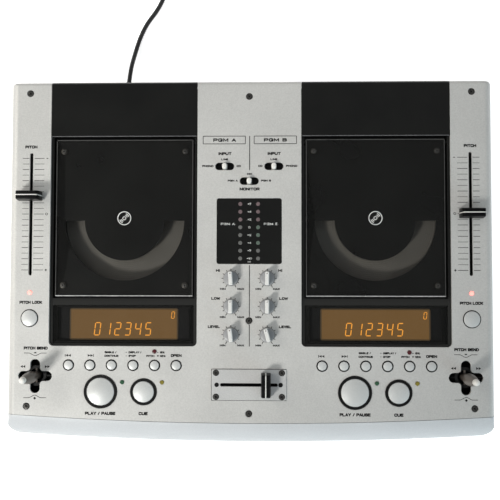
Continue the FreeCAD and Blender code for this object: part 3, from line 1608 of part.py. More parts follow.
top_cover()
front_bezel()
base_tray()
feet()
case_screws()
node("deck_panels", group("deck_set", [deck_panel(name, deck) for name, deck in DECKS.items()]))
windows()
node("drive_frames", group("frame_set", [drive_frame(deck) for deck in DECKS.values()]))
node("motors_and_rods", group("motor_set", deck_motors(DECKS["a"]) + deck_motors(DECKS["b"])))
control_bodies()
circuit_boards()
crossfader_plate()
rear_jacks()
mains_transformer()
power_cord()
cord_coil()
power_plug()
strain_relief()

for name, deck in DECKS.items():
    side = SIDES[name]
    lid(name, deck)
    lid_plate(name, deck)
    disc_hub(name, deck)
    laser_pickup(name, deck)
    buttons(name, deck, side)
    joystick(name, side)
    selector(f"input_lever_{name}", f"{side} * selector_x", "selector_y")
    fader_cap(f"pitch_fader_{name}", f"{side} * pitch_x", f"pitch_zero_y + pitch_rest_{name}", False)
    for word, y in zip(MIXER_KNOBS, knob_rows()):
        knob(f"knob_{word}_{name}", f"{side} * knob_x", y, f"knob_turn_{word}_{name}")
selector("monitor_lever", "0", "monitor_y")
fader_cap("crossfader_knob", "fader_rest", "fader_y", True)

doc.recompute()

faults = [item.Label for item in doc.Objects if "Invalid" in item.State or "Error" in item.State]
for label, piece in nodes.items():
    if piece.Shape.isNull() or not piece.Shape.isValid():
        faults.append(label)
if faults:
    raise SystemExit(f"failed objects: {sorted(set(faults))}")

os.makedirs("parts", exist_ok=True)
for label, piece in nodes.items():
    piece.Shape.exportStep(f"parts/{label}.step")
print(f"{len(nodes)} nodes")
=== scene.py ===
import random
from math import atan2, cos, hypot, pi, radians, sin, sqrt, tau

import bmesh
import bpy
from mathutils import Matrix, Vector

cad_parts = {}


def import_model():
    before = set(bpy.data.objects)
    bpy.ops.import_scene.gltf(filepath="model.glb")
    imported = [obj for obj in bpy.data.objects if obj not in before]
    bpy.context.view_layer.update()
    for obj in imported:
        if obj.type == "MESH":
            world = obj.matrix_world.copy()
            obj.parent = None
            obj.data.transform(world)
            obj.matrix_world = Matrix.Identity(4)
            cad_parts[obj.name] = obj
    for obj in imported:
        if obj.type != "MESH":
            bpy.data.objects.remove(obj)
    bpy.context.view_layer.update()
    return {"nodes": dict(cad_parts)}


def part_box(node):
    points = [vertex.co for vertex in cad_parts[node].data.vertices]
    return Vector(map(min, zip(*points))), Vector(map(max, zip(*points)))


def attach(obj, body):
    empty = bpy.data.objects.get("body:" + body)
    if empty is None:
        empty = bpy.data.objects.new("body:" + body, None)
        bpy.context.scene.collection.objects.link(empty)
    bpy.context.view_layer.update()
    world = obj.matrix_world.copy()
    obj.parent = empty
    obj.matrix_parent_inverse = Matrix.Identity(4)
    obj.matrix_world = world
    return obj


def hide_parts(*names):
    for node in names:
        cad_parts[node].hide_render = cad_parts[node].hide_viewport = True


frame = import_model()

NODES = frame["nodes"]
SCENE = bpy.context.scene
SCENE.view_settings.view_transform = "Standard"
random.seed(16)

# Meshes are drawn in millimetres, and place() turns them into metres.
MM = 0.001
SIDES = {"a": -1, "b": 1}
PANEL = 88.0
DECK_X = 112.05
DISC_Y = 36.5
STICK_X, STICK_Y = 189.6, -101.9
LOCK_X, LOCK_Y = 195.25, -50.8
SMALL_STEP, SMALL_Y = 19.12, -92.1
PLAY_X, CUE_X, LARGE_Y = -19.1, 19.05, -115.3
KNOB_X = 16.07
KNOB_Y = {"hi": -15.2, "low": -40.05, "level": -64.9}
CROSSFADER_Y = -108.75


# ---- Camera ----

def camera():
    data = bpy.data.cameras.new("camera")
    data.sensor_width = 36.0
    data.lens = 61.2
    data.clip_start = 0.05
    data.clip_end = 20.0
    eye = bpy.data.objects.new("camera", data)
    SCENE.collection.objects.link(eye)
    tilt = Matrix()
    for angle, axis in ((0.048287, "X"), (0.0296969, "Y"), (0.000363476, "Z")):
        tilt @= Matrix.Rotation(angle, 4, axis)
    eye.matrix_world = Matrix.Translation((0.023114, -0.026435, 0.839423)) @ tilt
    SCENE.camera = eye


camera()


# ---- Materials ----

def feed(fed, inputs):
    """Fills a node's inputs, given by name or number, with values or from other nodes' outputs."""
    for key, value in inputs.items():
        if isinstance(value, bpy.types.NodeSocket):
            fed.id_data.links.new(value, fed.inputs[key])
        else:
            fed.inputs[key].default_value = value


def node(tree, kind, inputs, **settings):
    """Adds a node, sets its properties, then fills its inputs."""
    made = tree.nodes.new("ShaderNode" + kind)
    for key, value in settings.items():
        setattr(made, key, value)
    feed(made, inputs)
    return made


def remap(tree, value, from_low, from_high, to_low=0.0, to_high=1.0):
    inputs = {"Value": value, "From Min": from_low, "From Max": from_high, "To Min": to_low, "To Max": to_high}
    return node(tree, "MapRange", inputs).outputs["Result"]


def combine(tree, operation, one, other):
    return node(tree, "Math", {0: one, 1: other}, operation=operation).outputs["Value"]


def finish(name, colour, rough, contrast=0.12, grain=700, bump=0.08, metal=0.0, rough_spread=0.12, mottle=0.08,
           mottle_scale=28.0, coat=0.0, specular=0.5, alpha=1.0, emission=None, glow=0.0, edge=0.0,
           stretch=(1.0, 1.0, 1.0), sheen=0.0):
    """A procedural finish: fine grain and slow mottling in the colour, mottling in the roughness, grain in the bump.

    contrast is the grain's share of the colour, and edge rounds the shading of edges by that many millimetres.
    """
    material = bpy.data.materials.new(name)
    material.use_nodes = True
    tree = material.node_tree
    where = node(tree, "TexCoord", {}).outputs["Object"]
    at = node(tree, "Mapping", {"Vector": where, "Scale": stretch}).outputs["Vector"]
    fine, slow = (
        node(
            tree, "TexNoise", {"Vector": at, "Scale": scale, "Detail": detail, "Roughness": falloff}
        ).outputs["Fac"]
        for scale, detail, falloff in ((grain, 3.0, 0.6), (mottle_scale, 2.0, 0.5))
    )
    ramp = node(tree, "ValToRGB", {"Fac": fine})
    for stop, position, share in zip(ramp.color_ramp.elements, (0.36, 0.64), (1 - contrast, 1 + contrast)):
        stop.position = position
        stop.color = (*(min(1.0, channel * share) for channel in colour), 1)
    shade = remap(tree, slow, 0.3, 0.7, 1 - mottle, 1 + mottle)
    tone = node(tree, "VectorMath", {0: ramp.outputs["Color"], "Scale": shade}, operation="SCALE")
    roughest, smoothest = min(1.0, rough * (1 + rough_spread)), max(0.02, rough * (1 - rough_spread))
    relief_inputs = {"Strength": bump, "Distance": 0.0004, "Height": fine}
    if edge:
        soft = node(tree, "Bevel", {"Radius": edge * MM}, samples=4)
        relief_inputs["Normal"] = soft.outputs["Normal"]
    inputs = {
        "Base Color": tone.outputs["Vector"],
        "Roughness": remap(tree, slow, 0.3, 0.7, smoothest, roughest),
        "Normal": node(tree, "Bump", relief_inputs).outputs["Normal"],
        "Metallic": metal,
        "Coat Weight": coat,
        "Coat Roughness": 0.12,
        "Specular IOR Level": specular,
        "Alpha": alpha,
        "Sheen Weight": sheen,
    }
    if emission:
        inputs |= {"Emission Color": (*emission, 1), "Emission Strength": glow}
    feed(tree.nodes["Principled BSDF"], inputs)
    return material


# Name, colour, roughness, contrast, grain and bump, then what differs from a plain finish.
SILVER = finish("silver_paint", (0.6, 0.595, 0.575), 0.36, 0.06, 950, 0.05, metal=0.2, mottle=0.02, edge=0.5)
BEZEL = finish("silver_front", (0.62, 0.635, 0.65), 0.36, 0.03, 900, 0.02, metal=0.1, mottle=0.02, edge=0.4)
TRAY = finish("tray_paint", (0.035, 0.035, 0.038), 0.55, 0.2, 1400, 0.2, edge=0.3)
RUBBER = finish("foot_rubber", (0.02, 0.02, 0.021), 0.8, 0.25, 900, 0.3, sheen=0.2)
BLACK_STEEL = finish("screw_oxide", (0.014, 0.013, 0.012), 0.34, 0.3, 1500, 0.1, metal=0.3, edge=0.2)
# The heads' top faces: a paler, more metallic steel than the rest of each screw.
SCREW_TOP_STEEL = finish("screw_top_face", (0.1, 0.097, 0.09), 0.3, 0.5, 1300, 0.15, metal=0.7)
DECK = finish("deck_gloss", (0.0042, 0.0042, 0.0034), 0.2, 0.35, 1100, 0.02, mottle=0.25, specular=0.36, edge=0.35)
SMOKED = finish("smoked_pane", (0.004, 0.004, 0.003), 0.08, 0.3, bump=0.004, alpha=0.3, rough_spread=0.3,
                specular=0.4)
STEEL = finish("zinc_steel", (0.5, 0.5, 0.48), 0.32, 0.15, 300, 0.06, metal=0.9, stretch=(1, 8, 1))
MOTOR = finish("motor_plate", (0.45, 0.45, 0.46), 0.3, 0.12, 500, 0.06, metal=0.9)
CONTROL = finish("control_black", (0.005, 0.005, 0.005), 0.4, 0.3, 1600, 0.08, specular=0.25, edge=0.3)
BOARD = finish("board_mask", (0.02, 0.12, 0.045), 0.35, 0.3, 260, 0.05, mottle=0.3, mottle_scale=90)
PLATE = finish("fader_plate", (0.6, 0.6, 0.59), 0.34, 0.06, 900, 0.04, metal=0.25, mottle=0.02, edge=0.35)
JACK = finish("jack_field", (0.02, 0.02, 0.02), 0.5, 0.25, 1500, 0.2)
JACK_RED = finish("jack_red", (0.4, 0.02, 0.02), 0.4, 0.15, 700, 0.03)
JACK_WHITE = finish("jack_white", (0.7, 0.69, 0.66), 0.4, 0.08, 700, 0.03)
IRON = finish("transformer_core", (0.12, 0.12, 0.13), 0.45, 0.3, 500, 0.3, metal=0.6, stretch=(1, 1, 9))
SHEATH = finish("cord_sheath", (0.012, 0.012, 0.013), 0.5, 0.25, 1800, 0.15)
PLUG = finish("plug_moulding", (0.014, 0.014, 0.015), 0.6, 0.3, 1500, 0.25)
LID = finish("lid_moulding", (0.006, 0.006, 0.005), 0.3, 0.3, 1200, 0.03, mottle=0.2, specular=0.35, edge=0.3)
ACRYLIC = finish("lid_smoke", (0.006, 0.006, 0.005), 0.06, 0.2, 500, 0.003, alpha=0.14, rough_spread=0.3,
                 specular=0.4)
HUB = finish("hub_plastic", (0.035, 0.035, 0.035), 0.5, 0.2, 1300, 0.15)
PICKUP = finish("pickup_plastic", (0.05, 0.05, 0.055), 0.4, 0.2, 1300, 0.1)
FADER = finish("fader_black", (0.004, 0.004, 0.0042), 0.34, 0.25, 1500, 0.06, specular=0.08, edge=0.3)
LEVER = finish("lever_white", (0.8, 0.79, 0.75), 0.3, 0.06, 900, 0.03, mottle=0.04, edge=0.3)
STICK = finish("stick_grey", (0.11, 0.092, 0.078), 0.3, 0.1, 1200, 0.05)
STICK_TIP = finish("stick_tip", (0.78, 0.76, 0.71), 0.4, 0.06, 1200, 0.05)
GIMBAL = finish("gimbal_black", (0.004, 0.004, 0.004), 0.6, 0.25, 1300, 0.12, specular=0.3)
KNOB = finish("knob_grey", (0.29, 0.295, 0.305), 0.4, 0.06, 1300, 0.05, mottle=0.03, edge=0.2)
KNOB_RIDGE = finish("knob_ridge", (0.74, 0.74, 0.72), 0.34, 0.05, 1300, 0.04, mottle=0.03, edge=0.2)
KNOB_MARK = finish("knob_mark", (0.1, 0.07, 0.06), 0.4, 0.1, 1100, 0.03)
PEARL = finish("button_pearl", (0.6, 0.61, 0.6), 0.42, 0.05, 1700, 0.03, metal=0.2, mottle=0.04)
BLACK_INK = finish("ink_black", (0.004, 0.004, 0.004), 0.6, 0.3, 2500, 0.03, specular=0.18)
GREY_INK = finish("ink_grey", (0.035, 0.034, 0.032), 0.6, 0.25, 2500, 0.03, specular=0.2)
WHITE_INK = finish("ink_white", (0.72, 0.73, 0.71), 0.5, 0.15, 2500, 0.05)
# A painted highlight: a pale line along the lid's front edge.
PAINTED_EDGE_HIGHLIGHT = finish("painted_edge_highlight", (0.5, 0.5, 0.5), 0.3, 0.2, 400, 0.02)
# A painted highlight: dim grey lines along the lid moulding's sides and rear, lighter than its black.
PAINTED_RIM_HIGHLIGHT = finish("painted_rim_highlight", (0.06, 0.06, 0.058), 0.3, 0.2, 400, 0.02)
# A painted highlight: a grey line along the rear cover's front edge.
PAINTED_REAR_HIGHLIGHT = finish("painted_rear_highlight", (0.13, 0.13, 0.135), 0.3, 0.2, 400, 0.02)
BRASS = finish("screw_ring", (0.05, 0.047, 0.04), 0.3, 0.3, 1500, 0.1, metal=0.7)
METAL_BLADE = finish("plug_blade", (0.62, 0.6, 0.55), 0.25, 0.08, 400, 0.03, metal=1.0, stretch=(1, 6, 1))
WELL = finish("well_grey", (0.19, 0.178, 0.155), 0.45, 0.1, 900, 0.03, mottle=0.06)
WELL_LINE = finish("well_line", (0.16, 0.15, 0.13), 0.45, 0.1, 900, 0.03, mottle=0.06)
MASK = finish("screen_mask", (0.006, 0.006, 0.006), 0.6, 0.3, 1500, 0.1)
AMBER = finish("display_amber", (0.05, 0.035, 0.02), 0.5, 0.1, 60, 0.0, mottle=0.1, mottle_scale=30,
               emission=(0.36, 0.19, 0.055), glow=0.72, stretch=(1, 0.05, 1))
AMBER_RIM = finish("display_rim", (0.05, 0.04, 0.025), 0.5, 0.1, emission=(0.3, 0.19, 0.08), glow=0.32)
SEGMENT = finish("display_segment", (0.3, 0.14, 0.02), 0.5, 0.1, emission=(1.0, 0.4, 0.05), glow=1.75)
METER_LAMPS = [
    finish(f"meter_lamp{name}", colour, 0.3, 0.1, bump=0.02)
    for name, colour in (("", (0.13, 0.13, 0.125)), ("_red", (0.16, 0.115, 0.12)), ("_green", (0.1, 0.135, 0.11)))
]
PANEL_LAMPS = [
    finish(f"lamp_{name}", colour, 0.16, 0.15, bump=0.02, coat=0.5)
    for name, colour in (
        ("green", (0.028, 0.09, 0.045)), ("yellow", (0.22, 0.18, 0.025)), ("red", (0.08, 0.006, 0.01)),
    )
]
PANEL_LAMPS.append(finish("lamp_lit", (0.8, 0.3, 0.28), 0.3, 0.1, bump=0.02, emission=(1.0, 0.22, 0.18), glow=1.9))

# Nodes that a piece below replaces have no entry here.
CAD_FINISH = {
    "top_cover": SILVER,
    "front_bezel": BEZEL,
    "base_tray": TRAY,
    "feet": RUBBER,
    "deck_panels": DECK,
    "windows": SMOKED,
    "drive_frames": STEEL,
    "motors_and_rods": MOTOR,
    "control_bodies": CONTROL,
    "circuit_boards": BOARD,
    "crossfader_plate": PLATE,
    "rear_jacks": JACK,
    "mains_transformer": IRON,
}
DECK_FINISH = {"lid": LID, "disc_hub": HUB, "laser_pickup": PICKUP, "joystick_gimbal": GIMBAL}
CAD_FINISH |= {f"{_name}_{_deck}": _material for _deck in SIDES for _name, _material in DECK_FINISH.items()}


def paint_node(name, material):
    data = NODES[name].data
    for slot in NODES[name].material_slots:
        slot.material = material
    if not data.materials:
        data.materials.append(material)


def painted_sheen_towards(material, far, near, colour):
    """Mixes the finish into another colour along the object's depth, between two distances in metres."""
    tree = material.node_tree
    shader = tree.nodes["Principled BSDF"]
    base = shader.inputs["Base Color"].links[0].from_socket
    position = node(tree, "NewGeometry", {}).outputs["Position"]
    depth = node(tree, "SeparateXYZ", {0: position}).outputs["Y"]
    inputs = {"Factor": remap(tree, depth, far, near), 6: base, 7: (*colour, 1)}
    feed(shader, {"Base Color": node(tree, "Mix", inputs, data_type="RGBA").outputs[2]})


# The display's surround, in front of the lid, is painted paler than the gloss behind: a painted reflection of the
# pale front of the room.
painted_sheen_towards(DECK, -0.028, -0.036, (0.018, 0.018, 0.0165))
for _name, _material in CAD_FINISH.items():
    paint_node(_name, _material)


# ---- Mesh helpers ----

def extent(cad):
    """A CAD node's box in millimetres: its centre's x and y, half its width and depth, its bottom and its top."""
    (x0, y0, z0), (x1, y1, z1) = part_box(cad)
    return (x0 + x1) / 2 / MM, (y0 + y1) / 2 / MM, (x1 - x0) / 2 / MM, (y1 - y0) / 2 / MM, z0 / MM, z1 / MM


def place(name, bm, materials, body="housing", replaces=None, smooth=True):
    """Makes a piece of a mesh, lets it ride a body and, where asked, stand for a CAD node."""
    bmesh.ops.recalc_face_normals(bm, faces=bm.faces)
    bmesh.ops.scale(bm, vec=(MM, MM, MM), verts=bm.verts)
    mesh = bpy.data.meshes.new(name)
    bm.to_mesh(mesh)
    bm.free()
    for material in materials:
        mesh.materials.append(material)
    if smooth:
        mesh.polygons.foreach_set("use_smooth", [True] * len(mesh.polygons))
        mesh.set_sharp_from_angle(angle=radians(32))
    piece = bpy.data.objects.new(name, mesh)
    SCENE.collection.objects.link(piece)
    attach(piece, body)
    if replaces:
        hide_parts(replaces)
    return piece


def pairs(ring):
    """Each item of a closed ring with the next."""
    return zip(ring, ring[1:] + ring[:1])


def walls(low, high):
    """The corners of the faces between two closed rings of equal length."""
    return [(low0, low1, high1, high0) for (low0, low1), (high0, high1) in zip(pairs(low), pairs(high))]


def move(bm, verts, degrees, axis, to):
    """Turns vertices about an axis through the origin, then moves them."""
    bmesh.ops.rotate(bm, verts=verts, cent=(0, 0, 0), matrix=Matrix.Rotation(radians(degrees), 3, axis))
    bmesh.ops.translate(bm, verts=verts, vec=to)


def arc(x, y, radius, start, end, count):
    """Points on an arc about (x, y), from start to end degrees."""
    turns = [radians(start + (end - start) * n / count) for n in range(count + 1)]
    return [(x + radius * cos(turn), y + radius * sin(turn)) for turn in turns]


def rounded(half_x, half_y, corner, count=4):
    """The outline of a rectangle with round corners, about the origin."""
    points = []
    for turn, (sx, sy) in enumerate(((1, 1), (-1, 1), (-1, -1), (1, -1))):
        points += arc(sx * (half_x - corner), sy * (half_y - corner), corner, 90 * turn, 90 * turn + 90, count)
    return points


def lathe(bm, profile, x=0, y=0, steps=48, index=0):
    """Turns a profile of (radius, height) pairs about the upright axis at (x, y)."""
    rings = [
        [bm.verts.new((px, py, height)) for px, py in (arc(x, y, radius, 0, 360, steps)[:-1] if radius else [(x, y)])]
        for radius, height in profile
    ]
    for low, high in zip(rings, rings[1:]):
        for n in range(steps):
            m = (n + 1) % steps
            corners = (low[n % len(low)], low[m % len(low)], high[m % len(high)], high[n % len(high)])
            corners = list(dict.fromkeys(corners))
            if len(corners) > 2:
                bm.faces.new(corners).material_index = index
    return [vert for ring in rings for vert in ring]


def pin(bm, x, y, radius, low, high, steps, index=0):
    return lathe(bm, [(0.0, low), (radius, low), (radius, high), (0.0, high)], x, y, steps, index)


def band(bm, x, y, inner, outer, low, outer_top, inner_top, steps, index=0):
    profile = [(inner, low), (outer, low), (outer, outer_top), (inner, inner_top), (inner, low)]
    return lathe(bm, profile, x, y, steps, index)


def loft(bm, outlines, index=0):
    """Joins outlines of equal length, each a list of (x, y, z), and closes the two ends."""
    rings = [[bm.verts.new(point) for point in outline] for outline in outlines]
    faces = []
    for low, high in zip(rings, rings[1:]):
        faces += walls(low, high)
    for corners in (*faces, rings[0][::-1], rings[-1]):
        bm.faces.new(corners).material_index = index
    return [vert for ring in rings for vert in ring]


def block(bm, x, y, levels, count=4, index=0):
    """An upright block with round corners, from levels of (half x, half y, corner, height)."""
    outlines = [
        [(x + px, y + py, z) for px, py in rounded(half_x, half_y, corner, count)]
        for half_x, half_y, corner, z in levels
    ]
    return loft(bm, outlines, index)


def slab(bm, x, y, half_x, half_y, low, high, corner=0.4, soft=0.2, index=0):
    """A block of one size with softened top and bottom edges."""
    soft = min(soft, (high - low) / 2.5)
    levels = [
        (half_x - inset, half_y - inset, max(0.05, corner - inset), z)
        for inset, z in ((soft, low), (0, low + soft), (0, high - soft), (soft, high))
    ]
    return block(bm, x, y, levels, index=index)


def bar(bm, x0, y0, x1, y1, width, low, high, index=0):
    """A straight stroke from one point to another."""
    along = Vector((x1 - x0, y1 - y0))
    side = Vector((-along.y, along.x)).normalized() * width / 2
    ends = ((x0, y0, 1), (x0, y0, -1), (x1, y1, -1), (x1, y1, 1))
    corners = [(px + way * side.x, py + way * side.y) for px, py, way in ends]
    return loft(bm, [[(x, y, z) for x, y in corners] for z in (low, high)], index)


def lengthened(x0, y0, x1, y1, by):
    """A straight line with both its ends moved out by a length, or in by a negative one."""
    share = by / hypot(x1 - x0, y1 - y0)
    dx, dy = (x1 - x0) * share, (y1 - y0) * share
    return x0 - dx, y0 - dy, x1 + dx, y1 + dy


# Plain capitals and figures as strokes of x,y points on a field 4 wide and 6 high, where no other width is given.
LETTER_GAP, LETTER_HEIGHT = 1.7, 6.0
LETTER_WIDTH = {"I": 0.4, "M": 4.8, "W": 5.4, "1": 1.6, "/": 2.2, " ": 1.6, "-": 3.0, "+": 3.6}
LETTERS = {
    " ": "",
    "A": "0,0 2,6 4,0;0.7,1.9 3.3,1.9",
    "B": "3,3.1 3.8,3.9 3.8,5.2 3,6 0,6 0,0 3.2,0 4,0.8 4,2.3 3,3.1 0,3.1",
    "C": "4,4.7 3.1,6 0.9,6 0,5 0,1 0.9,0 3.1,0 4,1.3",
    "D": "0,0 0,6 2.7,6 4,4.7 4,1.3 2.7,0 0,0",
    "E": "3.8,6 0,6 0,0 3.8,0;0,3.1 3.4,3.1",
    "G": "4,4.7 3.1,6 0.9,6 0,5 0,1 0.9,0 3.1,0 4,0.9 4,2.8 2.3,2.8",
    "H": "0,0 0,6;4,0 4,6;0,3.1 4,3.1",
    "I": "0.2,0 0.2,6",
    "K": "0,0 0,6;3.9,6 0,2.4;1.4,3.7 4,0",
    "L": "0,6 0,0 3.7,0",
    "M": "0,0 0,6 2.4,1.4 4.8,6 4.8,0",
    "N": "0,0 0,6 4,0 4,6",
    "O": "0.9,0 0,1 0,5 0.9,6 3.1,6 4,5 4,1 3.1,0 0.9,0",
    "P": "0,0 0,6;0,2.7 3.1,2.7 4,3.5 4,5.2 3.1,6 0,6",
    "S": "3.9,4.9 3.1,6 0.9,6 0,5.1 0,4 0.9,3.2 3.1,2.9 4,2 4,0.9 3.1,0 0.9,0 0,1.1",
    "T": "0,6 4,6;2,6 2,0",
    "U": "0,6 0,1 0.9,0 3.1,0 4,1 4,6",
    "V": "0,6 2,0 4,6",
    "W": "0,6 1.3,0 2.7,5 4.1,0 5.4,6",
    "X": "0,0 4,6;0,6 4,0",
    "Y": "0,6 2,2.9 4,6;2,2.9 2,0",
    "/": "0,0 2.2,6",
    "%": "0.4,0 3.6,6;0,4.4 0,5.8 1.2,5.8 1.2,4.4 0,4.4;2.8,0.2 2.8,1.6 4,1.6 4,0.2 2.8,0.2",
    "+": "0.3,3 3.3,3;1.8,1.5 1.8,4.5",
    "-": "0.2,3 2.8,3",
    "1": "0,4.7 1.4,6 1.4,0",
    "2": "0,4.9 0.9,6 3.1,6 4,5 4,4 0,0 4,0",
    "4": "3,0 3,6 0,1.8 4,1.8",
    "6": "3.8,5.2 3,6 0.9,6 0,5 0,1 0.9,0 3.1,0 4,0.9 4,2.6 3.1,3.5 0,3.5",
    "7": "0,6 4,6 1.4,0",
    "8": "0.9,3.2 0,4 0,5.2 0.8,6 3.2,6 4,5.2 4,4 3.1,3.2 0.9,3.2 0,2.3 0,0.8 0.9,0 3.1,0 4,0.8 4,2.3 3.1,3.2",
}
LETTERS["R"] = LETTERS["P"] + ";2.3,2.7 4,0"
LETTERS["0"] = LETTERS["O"]


def strokes_of(letter):
    return [[[float(v) for v in point.split(",")] for point in line.split()] for line in LETTERS[letter].split(";")]


class Ink:
    """Print on one level surface: closed slivers that stand a few hundredths of a millimetre proud."""

    def __init__(self, name, material, level=PANEL, body="housing", depth=0.04):
        self.name = name
        self.material = material
        self.low = level - depth
        self.high = level + depth
        self.body = body
        self.bm = bmesh.new()

    def line(self, x0, y0, x1, y1, width):
        bar(self.bm, x0, y0, x1, y1, width, self.low, self.high)

    def path(self, points, width):
        for start, end in zip(points, points[1:]):
            self.line(*start, *end, width)

    def shape(self, points):
        loft(self.bm, [[(x, y, z) for x, y in points] for z in (self.low, self.high)])

    def dot(self, x, y, radius, steps=16):
        self.shape(arc(x, y, radius, 0, 360, steps)[:-1])

    def ring(self, x, y, outer, inner, start=0, end=360, steps=32):
        outside, inside = (arc(x, y, radius, start, end, steps) for radius in (outer, inner))
        for n in range(steps):
            self.shape([inside[n], outside[n], outside[n + 1], inside[n + 1]])

    def word(self, text, x, y, width, height, weight=0.3):
        """Words in plain strokes, fitted to a width and a height about (x, y)."""
        stroke = height * weight
        wide = [LETTER_WIDTH.get(letter, 4.0) for letter in text]
        across = (width - stroke) / (sum(wide) + LETTER_GAP * (len(text) - 1))
        up = (height - stroke) / LETTER_HEIGHT
        at, foot = x - (width - stroke) / 2, y - (height - stroke) / 2
        for letter, breadth in zip(text, wide):
            for points in strokes_of(letter):
                points = [(at + px * across, foot + py * up) for px, py in points]
                for start, end in zip(points, points[1:]):
                    self.line(*lengthened(*start, *end, stroke * 0.4), stroke)
            at += (breadth + LETTER_GAP) * across

    def done(self):
        bmesh.ops.remove_doubles(self.bm, verts=self.bm.verts, dist=1e-5)
        return place(self.name, self.bm, [self.material], self.body, smooth=False)


# ---- Lead ----

CORD_RADIUS = 2.15
ROUTE = [
    (-0.1210, 0.1785, 0.0140),
    (-0.1196, 0.1920, 0.0136),
    (-0.1170, 0.2090, 0.0050),
    (-0.1126, 0.2260, 0.0023),
    (-0.1056, 0.2410, 0.0023),
    (-0.0950, 0.2545, 0.0023),
    (-0.0876, 0.2695, 0.0023),
    (-0.0856, 0.2880, 0.0023),
    (-0.0853, 0.3060, 0.0023),
]
COIL_X, COIL_Y = -57.0, 306.0
COIL_OUTER, COIL_MIDDLE, COIL_INNER = 28.3, 24.0, 19.7
COIL_LEVELS = (2.3, 6.65, 11.0, 15.35, 19.7)
COIL_STEPS = 24
TAIL_FIRST, TAIL_LAST, TAIL_TURN_Y = 17.65, 17.875, 286.0
PLUG_LEAD_X = -14.25
PLUG_LEAD_Z = 7.5


def ease(value):
    value = min(1.0, max(0.0, value))
    return 0.5 - 0.5 * cos(pi * value)


def coil_points():
    """The wound turns, three side by side in a layer and each layer above the last."""
    # Each mark is (turns from the start, radius, height); between two marks the lead moves smoothly over.
    layers = (
        (0.0, 0.7, 1.0, 1.7, 2.0, 2.5),
        (2.85, 3.3, 3.6, 4.3, 4.6, 5.0),
        (5.3, 5.7, 6.0, 6.7, 7.0, 7.5),
        (7.85, 8.3, 8.6, 9.3, 9.6, 9.7),
        (10.0,),
    )
    inwards = (COIL_OUTER, COIL_OUTER, COIL_MIDDLE, COIL_MIDDLE, COIL_INNER, COIL_INNER)
    marks = []
    for n, (height, layer) in enumerate(zip(COIL_LEVELS, layers)):
        marks += [(turns, radius, height) for turns, radius in zip(layer, inwards[::-1] if n % 2 else inwards)]
    points = []
    for n in range(1, int(marks[-1][0] * COIL_STEPS) + 1):
        turns = n / COIL_STEPS
        (t0, r0, h0), (t1, r1, h1) = next(pair for pair in zip(marks, marks[1:]) if turns <= pair[1][0])
        share = ease((turns - t0) / (t1 - t0))
        radius, height = r0 + (r1 - r0) * share, h0 + (h1 - h0) * share
        angle = pi - tau * turns
        points.append((COIL_X + radius * cos(angle), COIL_Y + radius * sin(angle), height))
    return points


def tail_points():
    """The free end: back over the turns, then round and down into the plug."""
    high = COIL_LEVELS[-1]
    left = COIL_X - COIL_OUTER
    middle = left + 2 * TAIL_FIRST
    points = [(x, y, high) for x, y in arc(left + TAIL_FIRST, COIL_Y, TAIL_FIRST, 180, 0, 9)[1:]]
    points += [(middle, 299.5, high), (middle, 293.0, high)]
    down = [high + (PLUG_LEAD_Z - high) * ease(n / 14) for n in range(14)]
    turn = arc(middle + TAIL_LAST, TAIL_TURN_Y, TAIL_LAST, 180, 360, 12)
    points += [(x, y, z) for (x, y), z in zip(turn, down)]
    points += [(PLUG_LEAD_X, 291.0, down[-1]), (PLUG_LEAD_X, 297.0, PLUG_LEAD_Z), (PLUG_LEAD_X, 303.0, PLUG_LEAD_Z)]
    return points


def lead():
    data = bpy.data.curves.new("power_lead", "CURVE")
    data.dimensions = "3D"
    data.bevel_depth = CORD_RADIUS * MM
    data.bevel_resolution = 5
    data.resolution_u = 6
    data.use_fill_caps = True
    points = ROUTE + [tuple(c * MM for c in point) for point in coil_points() + tail_points()]
    spline = data.splines.new("NURBS")
    spline.points.add(len(points) - 1)
    for target, point in zip(spline.points, points):
        target.co = (*point, 1.0)
    spline.order_u = 3
    spline.use_endpoint_u = True
    data.materials.append(SHEATH)
    piece = bpy.data.objects.new("power_lead", data)
    SCENE.collection.objects.link(piece)
    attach(piece, "housing")
    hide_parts("power_cord", "cord_coil")
    return piece


def plug():
    """A two-pin plug: a waisted moulding with finger ribs, a collar where the lead enters and two blades."""
    x, y, _, half, _, _ = extent("power_plug")
    blade_x, blade_length = 6.35, 16.0
    rear, front = y - half, y + half - blade_length
    sections = [
        (0.0, 4.6, 4.6), (0.6, 5.2, 5.2), (3.0, 5.6, 5.6), (3.6, 8.6, 6.6), (6.0, 10.6, 7.1),
        (9.0, 10.2, 6.9), (10.0, 9.6, 6.5), (11.0, 10.2, 6.9), (13.0, 10.3, 6.9), (14.0, 9.7, 6.5),
        (15.0, 10.3, 6.9), (17.0, 10.4, 7.0), (18.0, 9.8, 6.6), (19.0, 10.6, 7.1), (22.0, 11.6, 7.4),
        (28.6, 11.9, 7.4), (29.6, 11.4, 7.0), (30.0, 10.6, 6.2),
    ]
    bm = bmesh.new()
    loft(bm, [
        [(x + px, rear + along, PLUG_LEAD_Z + pz) for px, pz in rounded(wide, tall, min(wide, tall) * 0.62, 5)]
        for along, wide, tall in sections
    ])
    for side in (-1, 1):
        centre = x + side * blade_x
        loft(bm, [
            [(centre + px * size, front + along, PLUG_LEAD_Z + pz * size) for px, pz in rounded(0.75, 3.15, 0.3, 3)]
            for along, size in ((-1.0, 1.0), (15.2, 1.0), (blade_length, 0.72))
        ], 1)
    for along in (10.0, 14.0, 18.0):
        for side in (-1, 1):
            rib = PLUG_LEAD_Z + side * 6.6
            bar(bm, x - 7.0, rear + along, x + 7.0, rear + along, 1.0, rib - 0.3, rib + 0.3)
    return place("mains_plug", bm, [PLUG, METAL_BLADE], replaces="power_plug")


